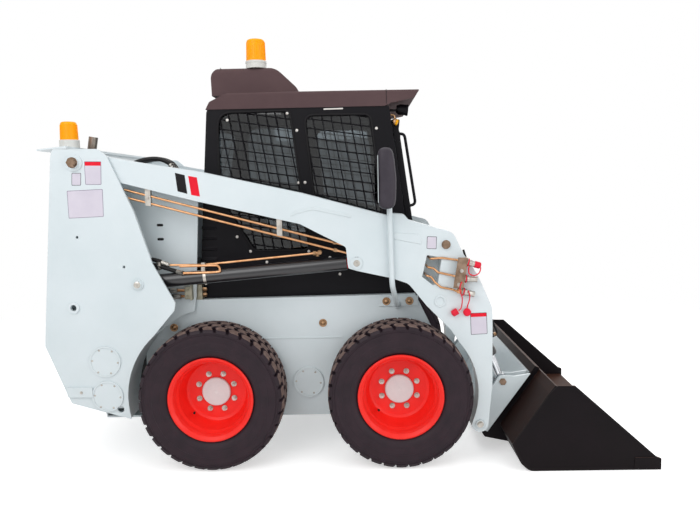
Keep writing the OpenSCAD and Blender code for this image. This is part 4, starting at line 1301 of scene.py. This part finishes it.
couplerShape = {
    "ends": [(836, 1064, -16), (824, 980, -4), (812, 914, -14)], "y": 773, "strapMm": 3, "pipeMm": 5.5,
    "capOn": 0.038, "nutBack": -0.028, "ringM": (0.019, 0.005), "freeCap": (789, -757, 812),
    "freePlug": (838, 746, 803), "bracket": [(763, 936), (815, 933), (839, 1088), (789, 1090)],
    "bracketY": (-785, -790.2), "web": [(808, 936), (814, 935), (838, 1087), (832, 1088)],
    "webY": (745.3, 789), "bolts": [(806, 1022), (792, 952)],
    "pipes": [[(652, 1082), (712, 1086), (795, 1073)], [(638, 1040), (669, 1033), (690, 1012), (774, 992)],
              [(632, 996), (654, 990), (674, 962), (704, 935), (766, 922)]], "pipeY": (-648, -751),
    "sleeve": [(0, -4), (14, -4), (17.5, 0), (17.5, 5), (16.8, 6), (17.5, 7), (16.8, 8), (17.5, 9),
               (16.8, 10), (17.5, 11), (16.8, 12), (17.5, 13), (17.5, 19), (16, 22), (15, 23), (15, 44),
               (14.4, 46), (14.4, 54), (15, 56), (15, 62.4), (12, 63.4), (7, 63.4), (7, 58), (0, 58)],
    "cap": [(0, 0), (16, 0), (17, 1), (17, 26), (16, 29), (12, 33), (5, 33), (5, 35), (0, 35)],
    "plug": [(0, 0), (18, 0), (20, 2), (20, 12), (16, 16), (0, 16)],
    # Straps: from the capped coupler, and from the open ones down to the cap and the plug that hang free
    "straps": [[(898, -785, 1048), (902, -785, 1030), (893, -785, 1008), (869, -785, 997),
                (846, -785, 1006), (842, -785, 1028), (844, -791, 1046)],
               [(806, -793, 966), (797, -801, 950), (797, -799, 920), (809, -785, 880), (808, -758, 830),
                (794, -758, 812)],
               [(838, -793, 922), (846, -793, 895), (843, -785, 865), (838, -758, 832), (838, -758, 815)]]}


def couplerMatrix(end):
    x, z, slope = end
    a = math.radians(slope)
    return towards(at(x, -couplerShape["y"], z), (math.cos(a), 0, math.sin(a)))


look = couplerShape
y, places = look["y"], [couplerMatrix(end) for end in look["ends"]]
sleeves = [moved(turned(look["sleeve"], 36), m) for m in places]
nuts = [moved(hexHead(26, 20, 12), m @ Matrix.Translation((0, 0, look["nutBack"]))) for m in places]
piece("couplerSleeves", [(brightZinc, sleeves), (goldZinc, nuts)], "boom", "bare_steel")
inner, outer = look["pipeY"]
runs = []
for (x, z, slope), path in zip(look["ends"], look["pipes"]):
    points = [at(path[0][0], inner, path[0][1])] + [at(px, outer, pz) for px, pz in path]
    points += [at(x - 30, -y, z + 2), at(x, -y, z)]
    runs.append(tube(bent(points, 16, 4), look["pipeMm"], 14))
piece("couplerPipes", [(goldZinc, runs)], "boom", "bare_steel")
bracket = [sideView(look["bracket"], *look["bracketY"]), plate(look["web"], *look["webY"], -1)]
bolts = [onSide(hexHead(15, 7, 10), x, 790, z, -1) for x, z in look["bolts"]]
piece("couplerBracket", [(brownSteel, bracket), (brightZinc, bolts)], "boom", "bare_steel")
dustCap = turned(look["cap"], 32)
caps = [moved(dustCap, places[0] @ Matrix.Translation((0, 0, look["capOn"]))),
        moved(dustCap, towards(at(*look["freeCap"]), (-0.85, 0, -0.5))),
        onSide(turned(look["plug"], 32), *look["freePlug"], -1)]
straps = [tube(smoothPath([at(*p) for p in path], 8), look["strapMm"], 10) for path in look["straps"]]
r, rise = look["ringM"]
circle = [Vector((r * math.cos(a), r * math.sin(a), rise)) for a in [math.pi * k / 12 for k in range(24)]]
rings = [tube([m @ p for p in circle], look["strapMm"], 8, closed=True) for m in places]
piece("couplerCaps", [(redCap, caps + straps + rings)], "boom", "grey_plastic")
print("stage: couplers")

# Cab windows: rubber sealing rings and screw caps

windowTrim = {"sealMm": 6, "screwMm": (8, 6),
              "screws": [(-409, 1827), (-84, 1857), (-35, 1765), (394, 1767), (-33, 1484), (2, 1485),
                         (-378, 1196), (-307, 1115), (13, 1109), (181, 981), (-219, 1054), (128, 1073)]}
for side, s in sides.items():
    look, out = windowTrim, halfWidths["cab"]
    loops = [[at(x, s * out, z) for x, z in roundedCorners(cabShape[name], 8)]
             for name in ("rear", "front")]
    rings = [tube(loop, look["sealMm"], 10, closed=True) for loop in loops]
    piece("windowSeals_" + side, [(sealRubber, rings)], "chassis", "grey_plastic")
    caps = [onSide(domeHead(*look["screwMm"]), x, out, z, s) for x, z in look["screws"]]
    piece("windowScrews_" + side, [(whiteNylon, caps)], "chassis", "grey_plastic")
print("stage: windows")

# Front door: pane in its seal, wiper, lock and the pull handle's loop

doorShape = {"half": 385, "low": 1010, "high": 1750, "paneMm": (19, 25), "sealAt": 36, "handleMm": 8,
             "handleY": -430, "handle": [(486, 1736), (548, 1742), (606, 1350), (540, 1345)],
             "knob": (-420, 1120), "pivot": (60, 1782)}


def doorAt(y, z, out):
    # A point on the leaning door; out is measured ahead of the cab's front edge
    return at(cabFront(z) + out, y, z)


look = doorShape
half, low, high, lean = look["half"], look["low"], look["high"], (1, 0, cabShape["lean"])
flat = prism(oblong(2 - half, low + 2, half - 2, high - 2), *look["paneMm"])
piece("doorGlass", [(tintedGlass, [([doorAt(*p) for p in flat[0]], flat[1])])], "door", "tinted_glass")
sealPath = bent([doorAt(y, z, look["sealAt"]) for y, z in oblong(-half, low, half, high)], 40, closed=True)
piece("doorSeal", [(sealRubber, [tube(sealPath, 8, 10, closed=True)])], "door", "grey_plastic")
loop = bent([at(x, look["handleY"], z) for x, z in look["handle"]], 26)
feet = [moved(drum(17, 0, 4, 24), towards(doorAt(look["handleY"], z, 37), lean)) for z in (1736, 1350)]
y, z = look["knob"]
knob = [tube([doorAt(y, z, 36), doorAt(y, z, 58)], 13, 20),
        tube(bent([doorAt(y, z, 58), doorAt(y + 90, z - 2, 62)], 10), 8)]
piece("doorHandle", [(blackPowder, [tube(loop, look["handleMm"], 14)] + feet + knob)], "door",
      "black_paint")
y, z = look["pivot"]
wiper = [moved(turned([(0, 0), (18, 0), (18, 18), (12, 24), (0, 24)]), towards(doorAt(y, z, 38), lean)),
         tube([doorAt(y, z, 58), doorAt(-170, 1480, 52)], 4, 8),
         tube([doorAt(-230, 1700, 45), doorAt(-110, 1260, 45)], 5, 8)]
piece("doorWiper", [(hoseRubber, wiper)], "door", "grey_plastic")
print("stage: door")

# Lamps: work lamps, side lamps, tail lamps, and the rotating reflectors in the beacons

lampShape = {"workY": 420, "work": (563, 1868), "tilt": -6, "can": (523, 1872.2),
             "canProfile": [(0, -17), (20, -17), (29, 1), (29, 40), (0, 40)],
             "bezel": [(24, -3), (31, -3), (31, 5), (29, 7), (25, 6), (24, 0), (24, -3)],
             "lens": [(0, 1.5), (25, 1.5), (25, 3), (20, 6), (10, 8), (0, 8.5)], "sideY": 476,
             "side": (496, 1806), "doorClearMm": 46,
             "shell": [(0, 0), (11, 0), (17, 6), (19, 12), (19, 18), (0, 18)],
             "dome": [(0, 18), (17, 18), (17, 26), (12, 31), (0, 33)]}

for side, s in sides.items():
    look = lampShape
    y, a = s * look["workY"], math.radians(look["tilt"])
    face = towards(at(look["work"][0], y, look["work"][1]), (math.cos(a), 0, math.sin(a)))
    can = moved(turned(look["canProfile"], 40),
                towards(at(look["can"][0], y, look["can"][1]), (0.9945, 0, -0.1045)))
    stand = slab((450, y - 10, 1862), (512, y + 10, 1874))
    bezel, lens = (moved(turned(look[key], 40), face) for key in ("bezel", "lens"))
    bowl = moved(drum(25, 0.2, 1.0, 40), face)
    piece("workLamp_" + side,
          [(blackPowder, [bezel, can, stand]), (chromeRod, [bowl]), (clearLens, [lens])], "chassis",
          "lamp_lens")
    # The left lamp hangs clear of the door's swing
    x, y, z = look["side"][0], s * look["sideY"], look["side"][1] + look["doorClearMm"] * (s > 0)
    stalk = tube(bent([at(x - 24, y, z + 34), at(x - 4, y, z + 30), at(x, y, z + 8)], 8), 5)
    cup = towards(at(x - 14, y, z), (1, 0, -0.35))
    shell, dome = (moved(turned(look[key], 32), cup) for key in ("shell", "dome"))
    piece("sideLamp_" + side, [(brownZinc, [stalk, shell]), (amberLens, [dome])], "chassis", "amber_lens")

rearEnd = at(-1000, 0, 0).x
rearLamps = partOf(nodeShape("lamps"), lambda p: p.x < rearEnd)
dressed("lamps", "tailLamps", [(redLens, [rearLamps])], "chassis", "amber_lens", bevelMm=3)
# Each beacon: x, y, z of its foot, radius and height
beaconPlaces = [(-1229, -600, 1722, 48, 104), (-273, -290, 2162, 57, 128)]
domes = []
for number, (x, y, z, r, h) in enumerate(beaconPlaces):
    spot = Matrix.Translation(at(x, y, z))
    arc = [(r - 20 + 14 * math.cos(math.radians(a)), h - 14 + 14 * math.sin(math.radians(a)))
           for a in range(15, 76, 15)]
    dome = turned([(0, 0), (r, 0), (r, 9), (r - 3, 12), (r - 6, h - 14)] + arc + [(r - 24, h), (0, h)], 64)
    domes.append(moved(dome, spot))
    shade = turned([(0, 3), (r * 0.55, 3), (r * 0.62, 10), (r * 0.62, h * 0.55), (r * 0.35, h * 0.72),
                    (0, h * 0.74)], 32)
    ribs = [tube([at(x + (r - 3.4) * math.cos(a), y + (r - 3.4) * math.sin(a), z + 14),
                  at(x + (r - 5.8) * math.cos(a), y + (r - 5.8) * math.sin(a), z + h - 16)], 1.6, 6)
            for a in [2 * math.pi * k / 36 for k in range(36)]]
    collar = turned([(r - 4, -3), (r + 3, -3), (r + 3, 7), (r + 0.5, 9), (r - 4, 9), (r - 4, -3)], 64)
    piece("beaconLamp_%d" % number, [(lampYellow, [moved(shade, spot)])], "chassis", "amber_lens")
    piece("beaconRibs_%d" % number, [(amberLens, ribs), (whiteAbs, [moved(collar, spot)])], "chassis",
          "amber_lens")
dressed("beacon_domes", "beaconDomes", [(amberLens, domes)], "chassis", "amber_lens")
print("stage: lamps")

# Seat: sewn bottom and back cushions on a sprung base

seatShape = {"bottom": ((-212, 0, 832), (198, 222, 50), -3), "back": ((-372, 0, 1150), (50, 214, 272), 8.3),
             "grid": 26, "channels": (-0.55, 0.0, 0.55), "channelMm": 9, "crownMm": 14}


def seatPad(name, shape, upright):
    place, halves, tilt = shape
    turn = Matrix.Rotation(math.radians(-tilt), 4, "Y")
    if upright:
        # The back's swollen face looks ahead
        halves = (halves[2], halves[1], halves[0])
        turn = turn @ Matrix.Rotation(math.radians(90), 4, "Y")
    shape = padShape(halves, seatShape["grid"], seatShape["crownMm"], seatShape["channels"],
                     seatShape["channelMm"])
    pad = piece(name, [(seatVinyl, [moved(shape, Matrix.Translation(at(*place)) @ turn)])], "chassis",
                "seat_vinyl", angle=80)
    grow = pad.modifiers.new("subdivision", "SUBSURF")
    grow.levels = grow.render_levels = 1
    return pad


seatBottom = seatPad("seatBottom", seatShape["bottom"], False)
seatPad("seatBack", seatShape["back"], True)
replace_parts(seatBottom, "seat")
tiers = []
for k in range(6):
    x, y, z = 6 * (k % 2), 8 * (k % 2), 640 + 20 * k
    tiers.append(slab((-400 + x, -215 + y, z), (-40 - x, 215 - y, z + 20)))
boards = [slab((-410, -225, 613), (-30, 225, 640)), slab((-405, -222, 760), (-35, 222, 784))]
piece("seatBase", [(blackPowder, boards), (sealRubber, tiers)], "chassis", "dark_steel", bevelMm=4)
print("stage: seat")

# Hoses over the rear cross tube and to the tilt cylinders

hoseRuns = {"hoseMm": 12, "rearY": (-510, -474, -438),
            "rear": [(-990, 1500), (-968, 1575), (-890, 1618), (-800, 1628), (-735, 1606), (-700, 1560)]}
tiltLines = {"barrel": 0.669, "ports": (0.16, 0.86),
             "gland": [(0, 0), (38, 0), (38, 28), (36, 30), (0, 30)]}
for number, y in enumerate(hoseRuns["rearY"]):
    line = smoothPath([at(x, y, z) for x, z in hoseRuns["rear"]], 10)
    loop = piece("rearHose_%d" % number, [(hoseRubber, [tube(line, hoseRuns["hoseMm"], 16)])], None,
                 "dark_steel")
    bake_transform(loop)
    piece("rearHoseFoot_%d" % number, [(brightZinc, fitting(line[0], line[1] - line[0], 12))], "chassis",
          "bare_steel")
    piece("rearHoseHead_%d" % number, [(brightZinc, fitting(line[-1], line[-2] - line[-1], 12))], "boom",
          "bare_steel")
for side, s in sides.items():
    # The tilt barrel runs from its pin down and ahead; its ports look up
    y = s * halfWidths["tilt"]
    foot, eye = (at(x, y, z) for x, z in (fasteners["tiltPin"], fasteners["tiltEye"]))
    axis = (eye - foot).normalized()
    up = Vector((-axis.z, 0, axis.x))
    spots = [foot + axis * tiltLines["barrel"] * share for share in tiltLines["ports"]]
    first, last = (spot + up * 0.059 for spot in spots)
    gland = moved(turned(tiltLines["gland"], 40), towards(foot + axis * 0.635, axis))
    bosses = [moved(drum(12, 0, 57, 20), towards(spot, up)) for spot in spots]
    piece("tiltGland_" + side, [(barrelPaint, [gland] + bosses)], "tilt_cylinder_" + side, "black_paint")
    aside = Vector((0, -s * 0.02, 0))
    pipe = bent([last, last + up * 0.022, first + up * 0.022 + axis * 0.06 + aside,
                 first + up * 0.03 - axis * 0.02 + aside], 18)
    nuts = [moved(hexHead(20, 12, 12), towards(p, up)) for p in (first, last)]
    piece("tiltPipe_" + side, [(hoseRubber, [tube(pipe, 6)]), (brownZinc, nuts)], "tilt_cylinder_" + side,
          "bare_steel")
print("stage: hoses")

# Camera as fitted to the photograph's wheels

cameraView = {"place": (299, -4235, 1455), "yaw": -0.93, "pitch": 5.58, "roll": -1.15, "focalPx": 685,
              "imageWidth": 700}


def makeCamera():
    yaw, pitch, roll = (math.radians(cameraView[k]) for k in ("yaw", "pitch", "roll"))
    ahead = Vector((math.sin(yaw) * math.cos(pitch), math.cos(yaw) * math.cos(pitch), -math.sin(pitch)))
    level = Vector((math.cos(yaw), -math.sin(yaw), 0))
    up = level.cross(ahead)
    right = math.cos(roll) * level + math.sin(roll) * up
    top = -math.sin(roll) * level + math.cos(roll) * up
    data = bpy.data.cameras.new("camera")
    data.sensor_width = 36
    data.lens = cameraView["focalPx"] / cameraView["imageWidth"] * data.sensor_width
    camera = shown("camera", data)
    turn = Matrix((right, top, -ahead)).transposed().to_4x4()
    camera.matrix_world = Matrix.Translation(at(*cameraView["place"])) @ turn
    bpy.context.scene.camera = camera


makeCamera()

# Studio: pale floor, white surroundings and large soft lamps

studio = {"floorColour": "#f2f2f2", "floorHalf": 30, "worldLight": 0.6, "floorGlow": 0.5, "nearFloor": 2.2,
          "farFloor": 5.5,
          "lamps": [("key", (-2.2, -4.6, 4.0), 3.6, 105), ("fill", (4.2, -4.2, 2.4), 3.4, 70),
                    ("above", (0.0, 0.3, 5.2), 4.5, 60), ("behind", (0.5, 4.6, 3.6), 3.4, 70)]}


def seenPlainly(tree):
    # 1 for rays from the camera, and for those that reach it over metal or through glass
    path = addNode(tree, "ShaderNodeLightPath")
    most = path.outputs["Is Camera Ray"]
    for name in ("Is Glossy Ray", "Is Transmission Ray"):
        larger = addNode(tree, "ShaderNodeMath", {"operation": "MAXIMUM"}, {0: most, 1: path.outputs[name]})
        most = larger.outputs["Value"]
    return most


def makeStudio():
    paper = {"Roughness": 0.9, "Base Color": hexColour(studio["floorColour"])}
    floorMaterial, tree, shader = newMaterial("floorPaper", paper)
    # Near the machine the paper keeps its shadow, far off it is plain white
    place = addNode(tree, "ShaderNodeTexCoord").outputs["Object"]
    away = addNode(tree, "ShaderNodeVectorMath", {"operation": "LENGTH"}, {"Vector": place})
    far = addNode(tree, "ShaderNodeMapRange",
                  {"From Min": studio["nearFloor"], "From Max": studio["farFloor"],
                   "interpolation_type": "SMOOTHSTEP"},
                  {"Value": away.outputs["Value"]})
    glow = addNode(tree, "ShaderNodeEmission", {"Color": grey(1.0), "Strength": studio["floorGlow"]})
    near = addNode(tree, "ShaderNodeAddShader",
                   links={0: shader.outputs["BSDF"], 1: glow.outputs["Emission"]})
    plain = addNode(tree, "ShaderNodeEmission", {"Color": grey(1.0), "Strength": 1.0})
    seen = mixedShader(tree, far.outputs["Result"], near.outputs["Shader"], plain.outputs["Emission"])
    both = mixedShader(tree, seenPlainly(tree), shader.outputs["BSDF"], seen)
    plug(tree.nodes["Material Output"], {"Surface": both})
    size = studio["floorHalf"]
    mesh = bpy.data.meshes.new("floor")
    mesh.from_pydata([(-size, -size, 0), (size, -size, 0), (size, size, 0), (-size, size, 0)], [],
                     [(0, 1, 2, 3)])
    mesh.materials.append(floorMaterial)
    shown("floor", mesh)
    world = bpy.data.worlds.new("studio")
    bpy.context.scene.world = world
    world.use_nodes = True
    tree = world.node_tree
    light = tree.nodes["Background"]
    light.inputs["Color"].default_value = grey(1.0)
    light.inputs["Strength"].default_value = studio["worldLight"]
    seen = addNode(tree, "ShaderNodeBackground", {"Color": grey(1.0), "Strength": 1.0})
    both = mixedShader(tree, seenPlainly(tree), light.outputs["Background"], seen.outputs["Background"])
    plug(tree.nodes["World Output"], {"Surface": both})
    for name, place, size, power in studio["lamps"]:
        data = bpy.data.lights.new(name, "AREA")
        data.size, data.energy = size, power
        lamp = shown(name, data)
        lamp.location = place
        lamp.rotation_mode = "QUATERNION"
        lamp.rotation_quaternion = (Vector((0, 0, 0.9)) - Vector(place)).to_track_quat("-Z", "Y")
    bpy.context.scene.view_settings.view_transform = "Standard"


makeStudio()
print("stage: camera and studio")
